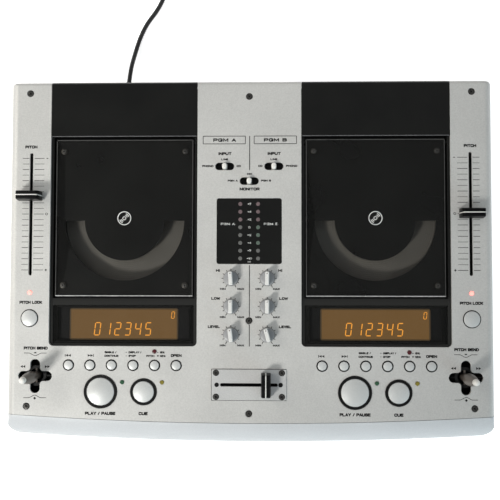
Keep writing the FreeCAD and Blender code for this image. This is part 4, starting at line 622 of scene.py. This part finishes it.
def relief():
    """The tapered sleeve where the lead leaves the case, ribbed along its length."""
    x, y, _, half, bottom, top = extent("strain_relief")
    root, wall, tip = y - half, 157.5, y + half
    ribs = 7
    profile = [(0.0, root), (6.0, root), (6.0, root + 2.0), (4.5, root + 2.0), (4.5, wall + 1.0)]
    for n in range(ribs):
        start = wall + 1.6 + n * (tip - wall - 2.6) / ribs
        radius = 4.5 - 1.5 * (start - wall) / (tip - wall)
        profile += [(radius, start), (radius, start + 1.4), (radius - 0.7, start + 1.6), (radius - 0.7, start + 2.3)]
    profile += [(3.0, tip - 0.4), (2.8, tip), (2.16, tip), (2.16, tip - 3), (0.0, tip - 3)]
    bm = bmesh.new()
    move(bm, lathe(bm, profile, steps=40), -90, "X", (x, 0, (bottom + top) / 2))
    return place("lead_sleeve", bm, [PLUG], replaces="strain_relief")


LEAD = lead()
LEAD_PLUG = plug()
LEAD_SLEEVE = relief()


# ---- Buttons ----

CAP_RADII = {"play": 12.2, "cue": 9.2, "pitch_lock": 7.05}
SMALL_BUTTONS = ("previous", "next", "single", "display", "pitch_range", "open")
SMALL_RADIUS = 3.9
FLANGE_TOP = 85.3
LARGE_DROP = 2.0


def button(word, deck):
    """A cap with a rolled edge and a crowned top, on a flange below the cover and a thin stem."""
    cad = f"button_{word}_{deck}"
    radius = CAP_RADII.get(word, SMALL_RADIUS)
    x, y, flange_radius, _, bottom, top = extent(cad)
    flange = FLANGE_TOP - (LARGE_DROP if word in ("play", "cue") else 0.0)
    ball = 3 * radius + 5
    soft = 0.045 * radius + 0.12
    inset = radius - soft

    def crown(reach):
        return top - (ball - sqrt(ball * ball - reach * reach))

    profile = [(0.0, bottom), (1.4, bottom), (1.4, flange - 1.2), (flange_radius, flange - 1.2)]
    profile += [(flange_radius, flange - 0.2), (flange_radius - 0.2, flange), (radius, flange)]
    profile += arc(inset, crown(inset) - soft * 0.9, soft, 0, 78, 5)
    steps = 10
    for n in range(1, steps + 1):
        reach = inset * (1 - n / steps)
        profile.append((reach, crown(reach)))
    bm = bmesh.new()
    lathe(bm, profile, x, y, 64)
    place(f"cap_{word}_{deck}", bm, [PEARL], cad, cad)


for _deck in SIDES:
    for _word in (*SMALL_BUTTONS, *CAP_RADII):
        button(_word, _deck)


# ---- Knobs ----

KNOB_TURN = {"hi_a": 4.0, "low_a": 0.0, "level_a": 7.0, "hi_b": 0.0, "low_b": 0.0, "level_b": 15.0}


def knob(label):
    """A fluted skirt with a paler ridge across it, a pointer dot and its shaft."""
    word, deck = label.rsplit("_", 1)
    bm = bmesh.new()
    skirt = [
        (0.0, 88.65), (6.2, 88.65), (6.45, 88.8), (6.5, 89.1), (6.46, 90.4), (6.3, 90.9),
        (6.2, 92.6), (6.05, 93.1), (5.6, 93.35), (3.0, 93.5), (0.0, 93.5),
    ]
    verts = lathe(bm, skirt, steps=60)
    for vert in verts:
        if hypot(vert.co.x, vert.co.y) > 5.9 and vert.co.z > 90.0:
            flutes = cos(20 * atan2(vert.co.y, vert.co.x))
            pinch = 1 - 0.012 * (0.5 + 0.5 * flutes)
            vert.co.x *= pinch
            vert.co.y *= pinch
    ridge = [(0.0, 92.9, 6.05), (0.0, 99.4, 5.95), (0.12, 100.1, 5.75), (0.45, 100.5, 5.3)]
    verts += block(bm, 0, 0, [(1.75 - inset, reach, 0.8 - inset, z) for inset, z, reach in ridge], index=1)
    verts += pin(bm, 0, 4.1, 0.5, 100.3, 100.56, 16, 2)
    verts += pin(bm, 0, 0, 3.0, 74.9, 89.0, 32)
    move(bm, verts, KNOB_TURN[label], "Z", (SIDES[deck] * KNOB_X, KNOB_Y[word], 0))
    cad = f"knob_{label}"
    place(f"dial_{label}", bm, [KNOB, KNOB_RIDGE, KNOB_MARK], cad, cad)


for _label in KNOB_TURN:
    knob(_label)


# ---- Faders, levers and sticks ----

def fader(cad, name, lengthwise):
    """A cap that narrows to its top, with a white line over it and grooves beside the line, on its stem."""
    x, y, half_x, half_y, bottom, top = extent(cad)
    half = half_y if lengthwise else half_x
    base = 89.8
    bm = bmesh.new()
    verts = block(bm, 0, 0, [
        (half - 0.5, 4.1, 0.5, base), (half, 4.3, 0.6, base + 0.6), (half - 0.1, 4.22, 0.7, base + 3.0),
        (half - 0.9, 3.75, 0.7, top - 1.4), (half - 1.25, 3.5, 0.7, top - 0.5), (half - 1.8, 3.1, 0.6, top),
    ])
    verts += slab(bm, 0, 0, half - 1.7, 0.42, top - 0.3, top + 0.03, 0.1, 0.02, 1)
    line = [
        (half - 1.74, top + 0.02), (half - 1.17, top - 0.5), (half - 0.82, top - 1.4),
        (half + 0.02, base + 3.0), (half + 0.03, base + 0.8),
    ]
    for side in (-1, 1):
        for ends in zip(line, line[1:]):
            verts += loft(bm, [
                [(side * (px - back), py, pz) for back, py in ((0, -0.42), (0, 0.42), (0.4, 0.42), (0.4, -0.42))]
                for px, pz in ends
            ], 1)
        for groove in (1.75, 2.55):
            verts += slab(bm, 0, side * groove, half - 2.2, 0.2, top - 0.3, top + 0.05, 0.1, 0.05)
    verts += slab(bm, 0, 0, 0.7, 2.5, bottom, base + 0.3, 0.2, 0.1)
    move(bm, verts, 90 if lengthwise else 0, "Z", (x, y, 0))
    place(name, bm, [FADER, LEVER], cad, cad)


for _deck in SIDES:
    fader(f"pitch_fader_{_deck}", f"pitch_cap_{_deck}", False)
fader("crossfader_knob", "crossfader_cap", True)


def lever(cad, name):
    """A switch's paddle with a rounded top and a rib across it."""
    x, y, _, _, bottom, top = extent(cad)
    levels = [
        (0.0, 84.4, 0.0), (0.0, top - 1.6, 0.0), (0.18, top - 0.7, 0.1), (0.6, top - 0.15, 0.35), (1.1, top, 0.8),
    ]
    bm = bmesh.new()
    block(bm, x, y, [
        (2.2 - inset, 2.8 - inset_y - inset * 0.4, max(0.4, 2.15 - inset), z) for inset, z, inset_y in levels
    ], 6)
    slab(bm, x, y, 2.2, 2.8, bottom, 84.6, 0.3, 0.2)
    bar(bm, x, y - 1.6, x, y + 1.6, 0.5, top - 0.1, top + 0.04)
    place(name, bm, [LEVER], cad, cad)


for _deck in SIDES:
    lever(f"input_lever_{_deck}", f"input_paddle_{_deck}")
lever("monitor_lever", "monitor_paddle")


def stick(deck):
    """A bulbous bend stick with a pale rounded tip, and its axle."""
    cad = f"joystick_stick_{deck}"
    x, y = SIDES[deck] * STICK_X, STICK_Y
    *_, bottom, top = extent(cad)
    neck, tip_radius, pivot = top - 4.9, 2.4, 82.0
    body = [
        (0.0, bottom), (3.2, bottom), (3.6, bottom + 0.5), (3.6, 89.5), (4.1, 92.5), (4.7, 96.0), (5.05, 99.0),
        (5.2, 102.0), (5.15, 105.0), (4.98, 109.0), (4.6, 113.0), (4.1, 117.0), (3.55, 120.5), (3.0, neck),
        (0.0, neck),
    ]
    bm = bmesh.new()
    lathe(bm, body, x, y)
    tip = [(0.0, neck - 0.2), (2.9, neck - 0.2), (2.85, neck + 1.6)]
    tip += arc(0.35, top - tip_radius, tip_radius, 8, 82, 8) + [(0.0, top)]
    lathe(bm, tip, x, y, index=1)
    move(bm, pin(bm, 0, 0, 1.0, -8.7, 8.7, 24), 90, "X", (x, y, pivot))
    place(f"bend_stick_{deck}", bm, [STICK, STICK_TIP], cad, cad)


for _deck in SIDES:
    stick(_deck)


# ---- Screws ----

def screw(bm, x, y, top, radius, rise, turn, shank, ring=None):
    """A pan head with a cross recess, on a plain shank. Its top face has the second material."""
    steps = 32
    recess = radius * 0.52
    arm = radius * 0.17
    low = top - rise
    head = [
        (0.0, low - shank), (radius * 0.5, low - shank), (radius * 0.5, low), (radius, low), (radius, top - 0.4),
        (radius - 0.3, top - 0.08), (radius * 0.74, top),
    ]
    rim = lathe(bm, head, x, y, steps)[-steps:]
    upper, lower = [], []
    for quarter in range(4):
        angle = radians(90 * quarter + turn)
        along, across = cos(angle), sin(angle)
        for px, py in ((recess, arm), (arm, arm), (arm, recess)):
            qx, qy = px * along - py * across, px * across + py * along
            upper.append(bm.verts.new((x + qx, y + qy, top)))
            lower.append(bm.verts.new((x + qx * 0.7, y + qy * 0.7, top - rise * 0.6)))
    for corners in (*walls(upper, lower), lower):
        bm.faces.new(corners)

    # The top face runs between the rim and the cross, as a fan of slivers.
    edges = [bm.edges.get(ends) for loop in (rim, upper) for ends in pairs(loop)]
    for face in bmesh.ops.bridge_loops(bm, edges=edges)["faces"]:
        face.material_index = 1
    if ring is not None:
        band(bm, x, y, radius * 1.02, radius * 1.3, low, low + 0.22, low + 0.34, steps, ring)


CASE_SCREWS = [(-197, 150.8), (197, 150.8), (-197, -128.4), (197, -128.4), (0, 147.3), (0, -52.5), (0, -134)]
PLATE_SCREW_X, PLATE_SCREW_Y = 28.97, 10.45


def case_screws():
    bm = bmesh.new()
    for x, y in CASE_SCREWS:
        screw(bm, x, y, 87.6, 2.8, 1.8, random.uniform(0, 90), 14.0)
    for sx in (-1, 1):
        for sy in (-1, 1):
            x, y = sx * PLATE_SCREW_X, CROSSFADER_Y + sy * PLATE_SCREW_Y
            screw(bm, x, y, 89.5, 2.8, 1.5, random.uniform(0, 90), 4.0)
    place("cover_screws", bm, [BLACK_STEEL, SCREW_TOP_STEEL], replaces="case_screws")


case_screws()


# ---- Lids ----

LID_TOP = 84.0
LID_SCREW_X, LID_SCREW_ROWS = 54.6, (98.6, -21.45)


def lid_parts(deck):
    """The smoked plate over the moulding, painted highlights along its edges, its four screws and a plain mark of
    rings.
    """
    body = f"lid_{deck}"
    plate = f"lid_plate_{deck}"
    x = SIDES[deck] * DECK_X
    _, y, half_x, half_y, _, _ = extent(plate)
    front, rear = y - half_y, y + half_y
    bm = bmesh.new()
    slab(bm, x, y, half_x, half_y, 82.4, LID_TOP, 0.7, 0.25)
    place(f"lid_pane_{deck}", bm, [ACRYLIC], body, plate)
    bm = bmesh.new()
    for side in (-1, 1):
        for row in LID_SCREW_ROWS:
            screw(bm, x + side * LID_SCREW_X, row, 85.2, 2.1, 1.1, random.uniform(0, 90), 4.0, ring=2)
    place(f"lid_screws_{deck}", bm, [BLACK_STEEL, SCREW_TOP_STEEL, BRASS], body)
    # Painted highlights: dim grey lines along the moulding's sides and rear edge, lighter than the black lid.
    edge = Ink(f"lid_edge_{deck}", PAINTED_RIM_HIGHLIGHT, LID_TOP, body, 0.06)
    for side in (-1, 1):
        side_x = x + side * (half_x - 0.45)
        edge.line(side_x, front + 0.2, side_x, rear - 0.2, 0.7)
    edge.line(x - half_x + 0.2, rear - 0.45, x + half_x - 0.2, rear - 0.45, 0.8)
    edge.done()
    # A painted highlight: a pale line along the lid's front edge.
    light = Ink(f"lid_front_edge_{deck}", PAINTED_EDGE_HIGHLIGHT, LID_TOP, body, 0.07)
    light.line(x - half_x + 0.3, front + 0.5, x + half_x - 0.3, front + 0.5, 0.75)
    light.done()
    mark = Ink(f"lid_mark_{deck}", WHITE_INK, LID_TOP, body, 0.05)
    mark_y = DISC_Y + 2.0
    mark.ring(x, mark_y, 6.2, 5.5)
    mark.ring(x, mark_y, 1.7, 1.1, steps=20)
    for start in (20, 200):
        mark.ring(x, mark_y, 4.6, 3.9, start, start + 50, 8)
        mark.ring(x, mark_y, 3.2, 2.5, start, start + 50, 8)
    mark.done()


for _deck in SIDES:
    lid_parts(_deck)


# ---- Displays and meters ----

# The figures 0 to 5 as strokes between the corners of a field one wide and two high.
SEGMENTS = {"0": "abcdef", "1": "bc", "2": "abged", "3": "abgcd", "4": "fgbc", "5": "afgcd"}
STROKES = {
    "a": ((0, 2), (1, 2)), "b": ((1, 2), (1, 1)), "c": ((1, 1), (1, 0)), "d": ((0, 0), (1, 0)),
    "e": ((0, 1), (0, 0)), "f": ((0, 2), (0, 1)), "g": ((0, 1), (1, 1)),
}
SLANT = 0.12
SCREEN_Y, SCREEN_TOP = -56.0, 80.0


def digit(bm, figure, x, y, width, height, stroke):
    for part in SEGMENTS[figure]:
        ends = []
        for px, py in STROKES[part]:
            rise = (py / 2 - 0.5) * height
            ends += [x + (px - 0.5) * width + rise * SLANT, y + rise]
        bar(bm, *lengthened(*ends, -0.55 * stroke), stroke, SCREEN_TOP + 0.3, SCREEN_TOP + 0.5)


def display(deck):
    """The lit glass in its black surround, with slanted figures of seven strokes."""
    x = SIDES[deck] * DECK_X
    bm = bmesh.new()
    layers = ((0, 61.5, 16.4, -0.8, 0.08, 1.0), (0.2, 48.7, 14.1, 0, 0.2, 1.8), (0.2, 47.4, 12.9, 0.1, 0.35, 0.6))
    for index, (left, half_x, half_y, low, high, corner) in enumerate(layers):
        slab(bm, x - left, SCREEN_Y, half_x, half_y, SCREEN_TOP + low, SCREEN_TOP + high, corner, 0.05, index)
    place(f"display_face_{deck}", bm, [MASK, AMBER_RIM, AMBER], smooth=False)
    bm = bmesh.new()
    for n, figure in enumerate("012345"):
        digit(bm, figure, x - 23.8 + 9.1 * n, -60.4, 4.7, 11.0, 0.82)
    digit(bm, "0", x + 43.9, -48.0, 2.5, 5.8, 0.5)
    place(f"display_digits_{deck}", bm, [SEGMENT], smooth=False)


for _deck in SIDES:
    display(_deck)


def lamp(bm, x, y, radius, low, top, index=0):
    """A short cylinder with a domed end."""
    height = 0.25 * (top - low)
    profile = [(0.0, low), (radius, low), (radius, low + 0.75 * (top - low))]
    for n in range(1, 7):
        angle = radians(90 * n / 6)
        profile.append((radius * cos(angle) if n < 6 else 0.0, top - height + height * sin(angle)))
    lathe(bm, profile, x, y, 24, index)


METER_Y, METER_HALF_X, METER_HALF_Y, METER_CORNER = 26.65, 28.95, 29.25, 2.2
METER_TOP, METER_STEP = 50.8, 6.92
METER_SCALE = ("+7", "+4", "+2", "0", "-2", "-4", "-7", "-10")


def meter():
    """The dark face with its two columns of lamps and the scale between them."""
    bm = bmesh.new()
    slab(bm, 0, METER_Y, METER_HALF_X, METER_HALF_Y, 87.7, 88.04, METER_CORNER, 0.05)
    place("meter_face", bm, [DECK], smooth=False)
    bm = bmesh.new()
    white = Ink("print_meter", WHITE_INK, 88.06)
    for n, text in enumerate(METER_SCALE):
        y = METER_TOP - METER_STEP * n
        for side in (-1, 1):
            index = 1 if n < 3 else (2 if side > 0 and n < 6 else 0)
            lamp(bm, side * 7.9, y, 1.75, 87.9, 88.12, index)
        white.word(text, 0.2, y, 1.35 * len(text) + 0.6, 1.9)
    place("meter_lamps", bm, METER_LAMPS)
    white.word("DB", 0.2, -0.5, 3.0, 1.1)
    white.word("PGM A", -19.0, 33.0, 12.6, 2.1)
    white.word("PGM B", 19.2, 33.0, 12.6, 2.1)
    white.done()
    corners = Ink("meter_corners", SILVER, PANEL, depth=0.06)
    for sx in (-1, 1):
        for sy in (-1, 1):
            cx, cy = sx * METER_HALF_X, METER_Y + sy * METER_HALF_Y
            inner = [
                (cx - sx * (METER_CORNER - px), cy - sy * (METER_CORNER - py))
                for px, py in arc(0, 0, METER_CORNER, 0, 90, 6)
            ]
            corners.shape([(cx, cy)] + inner)
    corners.done()


meter()


def panel_lamps():
    cap_row, range_row, lock_row = -107.0, -79.9, -28.1
    bm = bmesh.new()
    for side in (-1, 1):
        centre = side * DECK_X
        places = [(centre, cap_row), (centre + 35.3, cap_row), (centre + 28.5, range_row), (side * LOCK_X, lock_row)]
        for index, (x, y) in enumerate(places):
            lamp(bm, x, y, 1.86, 87.6, 88.85, index)
    place("panel_lamps", bm, PANEL_LAMPS)


panel_lamps()


# ---- Print on the cover ----

def print_arrow(ink, tip, y, length, half, way):
    """A solid arrowhead that points left (way -1) or right (way 1)."""
    ink.shape([(tip, y), (tip - way * length, y + half), (tip - way * length, y - half)][::way])


def print_pitch(black, grey, side):
    """The pitch fader's scale, with a ring at its middle and a plus at its near end."""
    for n in range(21):
        y = 92.0 - 5.0 * n
        ink, width = (black, 0.46) if n % 2 == 0 else (grey, 0.36)
        ink.line(side * 197.3, y, side * 203.2, y, width)
        ink.line(side * 192.6, y, side * 183.7, y, width)
    black.line(side * 180.2, 92.0, side * 181.9, 92.0, 0.6)
    black.ring(side * 181.2, 42.0, 1.15, 0.7, steps=16)
    black.line(side * 180.2, -8.0, side * 182.2, -8.0, 0.6)
    black.line(side * 181.2, -9.0, side * 181.2, -7.0, 0.6)


def print_stick(black, grey, centre):
    """The brackets, signs and arrows round a bend stick."""
    half = [(10.1, 0.0), (5.4, 0.0), (4.4, 0.12), (1.2, 0.88), (0.4, 1.0)]
    for level, dip in ((-81.7, -2.3), (-121.0, 2.3)):
        left = [(centre - px, level + dip * share) for px, share in half]
        right = [(centre + px, level + dip * share) for px, share in reversed(half)]
        grey.path(left + right, 0.5)
    black.line(centre - 1.0, -81.4, centre + 1.0, -81.4, 0.95)
    black.line(centre - 1.1, -121.4, centre + 1.1, -121.4, 0.9)
    black.line(centre, -122.5, centre, -120.3, 0.9)
    for way in (-1, 1):
        for step in (-1.1, 1.1):
            print_arrow(black, centre + way * 10.9 + step + way * 1.1, -93.6, 2.1, 1.2, way)


def print_buttons(black, centre):
    """What stands over the row of small buttons and under the two large ones."""
    columns = [centre + (n - 2.5) * SMALL_STEP for n in range(6)]
    for x, way in ((columns[0], -1), (columns[1], 1)):
        for step in (-1.3, 1.1):
            print_arrow(black, x + way * (step + 1.6), -83.6, 2.3, 1.1, way)
        black.line(x + way * 3.0, -82.5, x + way * 3.0, -84.7, 0.55)
    upper, lower, under = -80.7, -83.9, -134.4
    for row in (
        ("SINGLE /", columns[2] - 0.9, upper, 10.6, 1.8),
        ("CONTINUE", columns[2], lower, 12.6, 1.8),
        ("DISPLAY /", columns[3] + 1.7, upper, 11.4, 1.8),
        ("STOP", columns[3] - 0.8, lower, 6.4, 1.8),
        ("PITCH", columns[4] - 3.7, lower, 7.2, 1.8),
        ("8%", columns[4] + 6.9, upper, 4.0, 1.8),
        ("16%", columns[4] + 7.1, lower, 5.2, 1.8),
        ("OPEN", columns[5], -83.4, 9.6, 2.5),
        ("PLAY / PAUSE", centre - 19.1, under, 27.2, 2.8),
        ("CUE", centre + 19.0, under, 8.2, 2.8),
    ):
        black.word(*row)
    for y in (upper, lower):
        black.line(columns[3] - 6.6, y, columns[3] - 5.4, y, 0.4)
    black.dot(columns[4] + 2.9, upper, 0.5)
    black.dot(columns[4] + 2.9, -83.7, 0.7)


def print_mixer(black, grey, deck, side):
    """One channel's frame, words and knob scales, and the words over its deck's pitch fader and stick."""
    name = f"PGM {deck.upper()}"
    frame_points = [(3.9, 111.5), (41.6, 111.5), (41.6, 104.6), (3.9, 104.6), (3.9, 111.5)]
    black.path([(side * x + 0.4, y) for x, y in frame_points], 0.55)
    black.word(name, side * 22.6 + 0.6, 108.0, 20.4, 3.0, 0.28)
    for row in (
        ("PITCH", side * 195.4 - 0.3, 102.3, 11.0, 2.7),
        ("PITCH LOCK", side * 194.6 + 0.4, -36.8, 20.4, 2.7),
        ("PITCH BEND", side * 189.8 + 0.5, -77.3, 21.4, 2.7),
        ("INPUT", side * 21.9 + 0.2, 95.8, 11.8, 2.6),
        ("LINE", side * 21.9, 90.7, 6.2, 1.7),
        ("PHONO", side * 37.3 + 0.3, 84.7, 10.0, 1.8),
        ("CD", side * 9.6 + 0.2, 84.7, 3.8, 1.8),
        (name, side * 14.8 + 0.1, 71.6, 8.8, 1.7),
        ("HI", side * 27.6, -8.3, 3.6, 2.4),
        ("LOW", side * 30.0 + 0.5, -33.0, 7.8, 2.4),
        ("LEVEL", side * 31.4 + 0.4, -57.9, 10.8, 2.4),
    ):
        black.word(*row)
    centre = side * KNOB_X
    nudge = 0.35 - 0.35 * side
    for y in KNOB_Y.values():
        black.word("MIN", centre - 7.9 + nudge, y - 9.4, 5.0, 1.8)
        black.word("MAX", centre + 8.1 + nudge, y - 9.4, 6.0, 1.8)
        for n in range(11):
            angle = radians(240 - 30 * n)
            ends = [
                (centre + reach * cos(angle), y + reach * sin(angle))
                for reach in (6.95, 9.2 if n in (0, 10) else 8.3)
            ]
            (black if n in (0, 5, 10) else grey).path(ends, 0.6)


def printing():
    black = Ink("print_black", BLACK_INK)
    grey = Ink("print_grey", GREY_INK)
    for deck, side in SIDES.items():
        print_pitch(black, grey, side)
        print_stick(black, grey, side * STICK_X)
        print_buttons(black, side * DECK_X)
        print_mixer(black, grey, deck, side)
    middle = 0.3
    black.word("MIX", middle, 77.6, 4.6, 1.7)
    black.word("MONITOR", middle, 64.1, 17.8, 2.6)
    for y0, y1 in ((111.6, 81.0), (-3.6, -49.2), (-55.8, -75.2)):
        black.line(middle, y0, middle, y1, 0.7)
    black.path([(33.0, -95.1), (-33.0, -95.1), (-33.0, -122.4), (33.0, -122.4)], 0.5)
    black.done()
    grey.done()
    plate = Ink("print_plate", BLACK_INK, 89.0)
    for x in (-28.35, 27.9):
        plate.dot(x, CROSSFADER_Y, 2.0, 24)
    plate.done()


printing()


def gap_shade_and_collar_rings():
    """Painted shade in the gap round each small cap, the pitch lock's cap and each knob, as black rings on the cover,
    and the black tops of the collars round the two large caps.
    """
    bm = bmesh.new()
    for side in SIDES.values():
        centre = side * DECK_X
        # Painted shade round the small caps, the pitch lock's cap and the knobs.
        rings = [(centre + (n - 2.5) * SMALL_STEP, SMALL_Y, 3.98, 5.1) for n in range(6)]
        rings.append((side * LOCK_X, LOCK_Y, 7.15, 7.95))
        rings += [(side * KNOB_X, y, 6.3, 6.72) for y in KNOB_Y.values()]
        for x, y, inner, outer in rings:
            band(bm, x, y, inner, outer, 87.9, 88.04, 88.1, 48)
        for x, inner, outer in ((PLAY_X, 12.35, 14.6), (CUE_X, 9.35, 11.65)):
            band(bm, centre + x, LARGE_Y, inner, outer, 88.5, 88.63, 88.63, 64)
    place("gap_shade_and_collar_rings", bm, [BLACK_INK])


gap_shade_and_collar_rings()


# ---- Jacks at the rear ----

def jacks():
    """Plated shells and coloured cores round the ten sockets."""
    rear = 148.5
    shell = [
        (1.7, 0.1), (3.3, 0.1), (4.05, 0.1), (4.12, 6.9), (4.0, 7.9), (3.2, 7.95), (3.1, 7.2), (1.7, 7.2), (1.7, 0.1),
    ]
    bm = bmesh.new()
    for column in range(-2, 3):
        for row, level in enumerate((27.0, 45.0)):
            verts = lathe(bm, shell, steps=32)
            verts += band(bm, 0, 0, 1.75, 3.15, 7.1, 7.6, 7.6, 32, 1 + (column + row) % 2)
            verts += band(bm, 0, 0, 4.2, 6.4, 0.02, 0.5, 0.7, 6)
            move(bm, verts, -90, "X", (column * 36.0, rear, level))
    place("jack_shells", bm, [METAL_BLADE, JACK_RED, JACK_WHITE])


jacks()


# ---- Trim on the decks ----

def deck_trim(deck):
    """The turned rings of the disc well below the lid's opening, and a painted highlight along the rear cover's front
    edge.
    """
    x = SIDES[deck] * DECK_X
    steps = 48
    bm = bmesh.new()
    for n in range(26):
        inner = 32.4 + 0.9 * n
        loop = arc(x, DISC_Y, inner, 178, 362, steps) + arc(x, DISC_Y, inner + 0.86, 362, 178, steps)
        rise = 68.06 + (0.05 if n % 2 else 0.0)
        upper, lower = ([bm.verts.new((px, py, z)) for px, py in loop] for z in (rise, 67.95))
        faces = walls(lower, upper)
        for m in range(steps):
            faces.append((upper[m], upper[m + 1], upper[-2 - m], upper[-1 - m]))
            faces.append((lower[m + 1], lower[m], lower[-1 - m], lower[-2 - m]))
        for corners in faces:
            bm.faces.new(corners).material_index = n % 2
    place(f"well_rings_{deck}", bm, [WELL, WELL_LINE], smooth=False)
    # A painted highlight: a grey bar along the rear cover's front edge, lighter than its black gloss.
    bm = bmesh.new()
    bar(bm, x - 64.9, 111.75, x + 64.9, 111.75, 0.6, 87.5, 88.06)
    place(f"rear_cover_painted_highlight_{deck}", bm, [PAINTED_REAR_HIGHLIGHT], smooth=False)


for _deck in SIDES:
    deck_trim(_deck)


# ---- Floor and lights ----

def rays(tree):
    """Two outputs of Light Path: rays of the camera, and rays that metal or glass sends on."""
    path = node(tree, "LightPath", {}).outputs
    return path["Is Camera Ray"], combine(tree, "MAXIMUM", path["Is Glossy Ray"], path["Is Transmission Ray"])


def floor():
    """A pale floor that takes the shadow, lifted to white where it is seen or mirrored."""
    bm = bmesh.new()
    bmesh.ops.create_grid(bm, x_segments=2, y_segments=2, size=3.0)
    mesh = bpy.data.meshes.new("floor")
    bm.to_mesh(mesh)
    bm.free()
    material = bpy.data.materials.new("floor_white")
    material.use_nodes = True
    tree = material.node_tree
    camera_ray, passed_on = rays(tree)
    seen = combine(tree, "MAXIMUM", camera_ray, passed_on)
    feed(tree.nodes["Principled BSDF"], {
        "Base Color": (0.93, 0.93, 0.93, 1),
        "Roughness": 0.9,
        "Specular IOR Level": 0.1,
        "Emission Color": (1, 1, 1, 1),
        "Emission Strength": combine(tree, "MULTIPLY", seen, 0.78),
    })
    mesh.materials.append(material)
    ground = bpy.data.objects.new("floor", mesh)
    SCENE.collection.objects.link(ground)


floor()


def light(name, kind, place_at, aim, power, colour, **settings):
    data = bpy.data.lights.new(name, kind)
    data.energy = power
    data.color = colour
    for key, value in settings.items():
        setattr(data, key, value)
    source = bpy.data.objects.new(name, data)
    SCENE.collection.objects.link(source)
    source.location = place_at
    source.rotation_mode = "QUATERNION"
    source.rotation_quaternion = (Vector(aim) - Vector(place_at)).to_track_quat("-Z", "Y")


# The key is a window's light from the front left, which falls off over the panel to the right.
light("key", "SPOT", (-1.05, -1.0, 1.65), (-0.12, 0.06, 0.08), 138.0, (1.0, 0.985, 0.945),
      shadow_soft_size=0.2, spot_size=radians(27.0), spot_blend=1.0)
light("fill", "AREA", (1.0, -0.8, 0.45), (0.15, -0.12, 0.05), 4.6, (0.66, 0.9, 1.0), shape="SQUARE", size=0.6)
light("side", "AREA", (-1.2, 0.35, 0.95), (-0.15, 0.03, 0.08), 6.4, (1.0, 0.96, 0.87), shape="SQUARE", size=1.0)


def world():
    """Soft even light. The eye sees it white, and so do metal and glass where a backdrop would stand."""
    studio = bpy.data.worlds.new("studio")
    SCENE.world = studio
    studio.use_nodes = True
    tree = studio.node_tree
    soft = tree.nodes["Background"]
    feed(soft, {"Color": (0.94, 0.97, 1.0, 1), "Strength": 0.34})
    white = node(tree, "Background", {"Color": (1, 1, 1, 1), "Strength": 1.0})
    direction = node(tree, "TexCoord", {}).outputs["Generated"]
    height = node(tree, "SeparateXYZ", {0: direction}).outputs["Z"]
    camera_ray, passed_on = rays(tree)
    backdrop = combine(tree, "MULTIPLY", passed_on, remap(tree, height, 0.42, 0.16))
    seen = combine(tree, "MAXIMUM", camera_ray, backdrop)
    mix = {0: seen, 1: soft.outputs["Background"], 2: white.outputs["Background"]}
    mixed = node(tree, "MixShader", mix).outputs["Shader"]
    feed(tree.nodes["World Output"], {"Surface": mixed})


world()
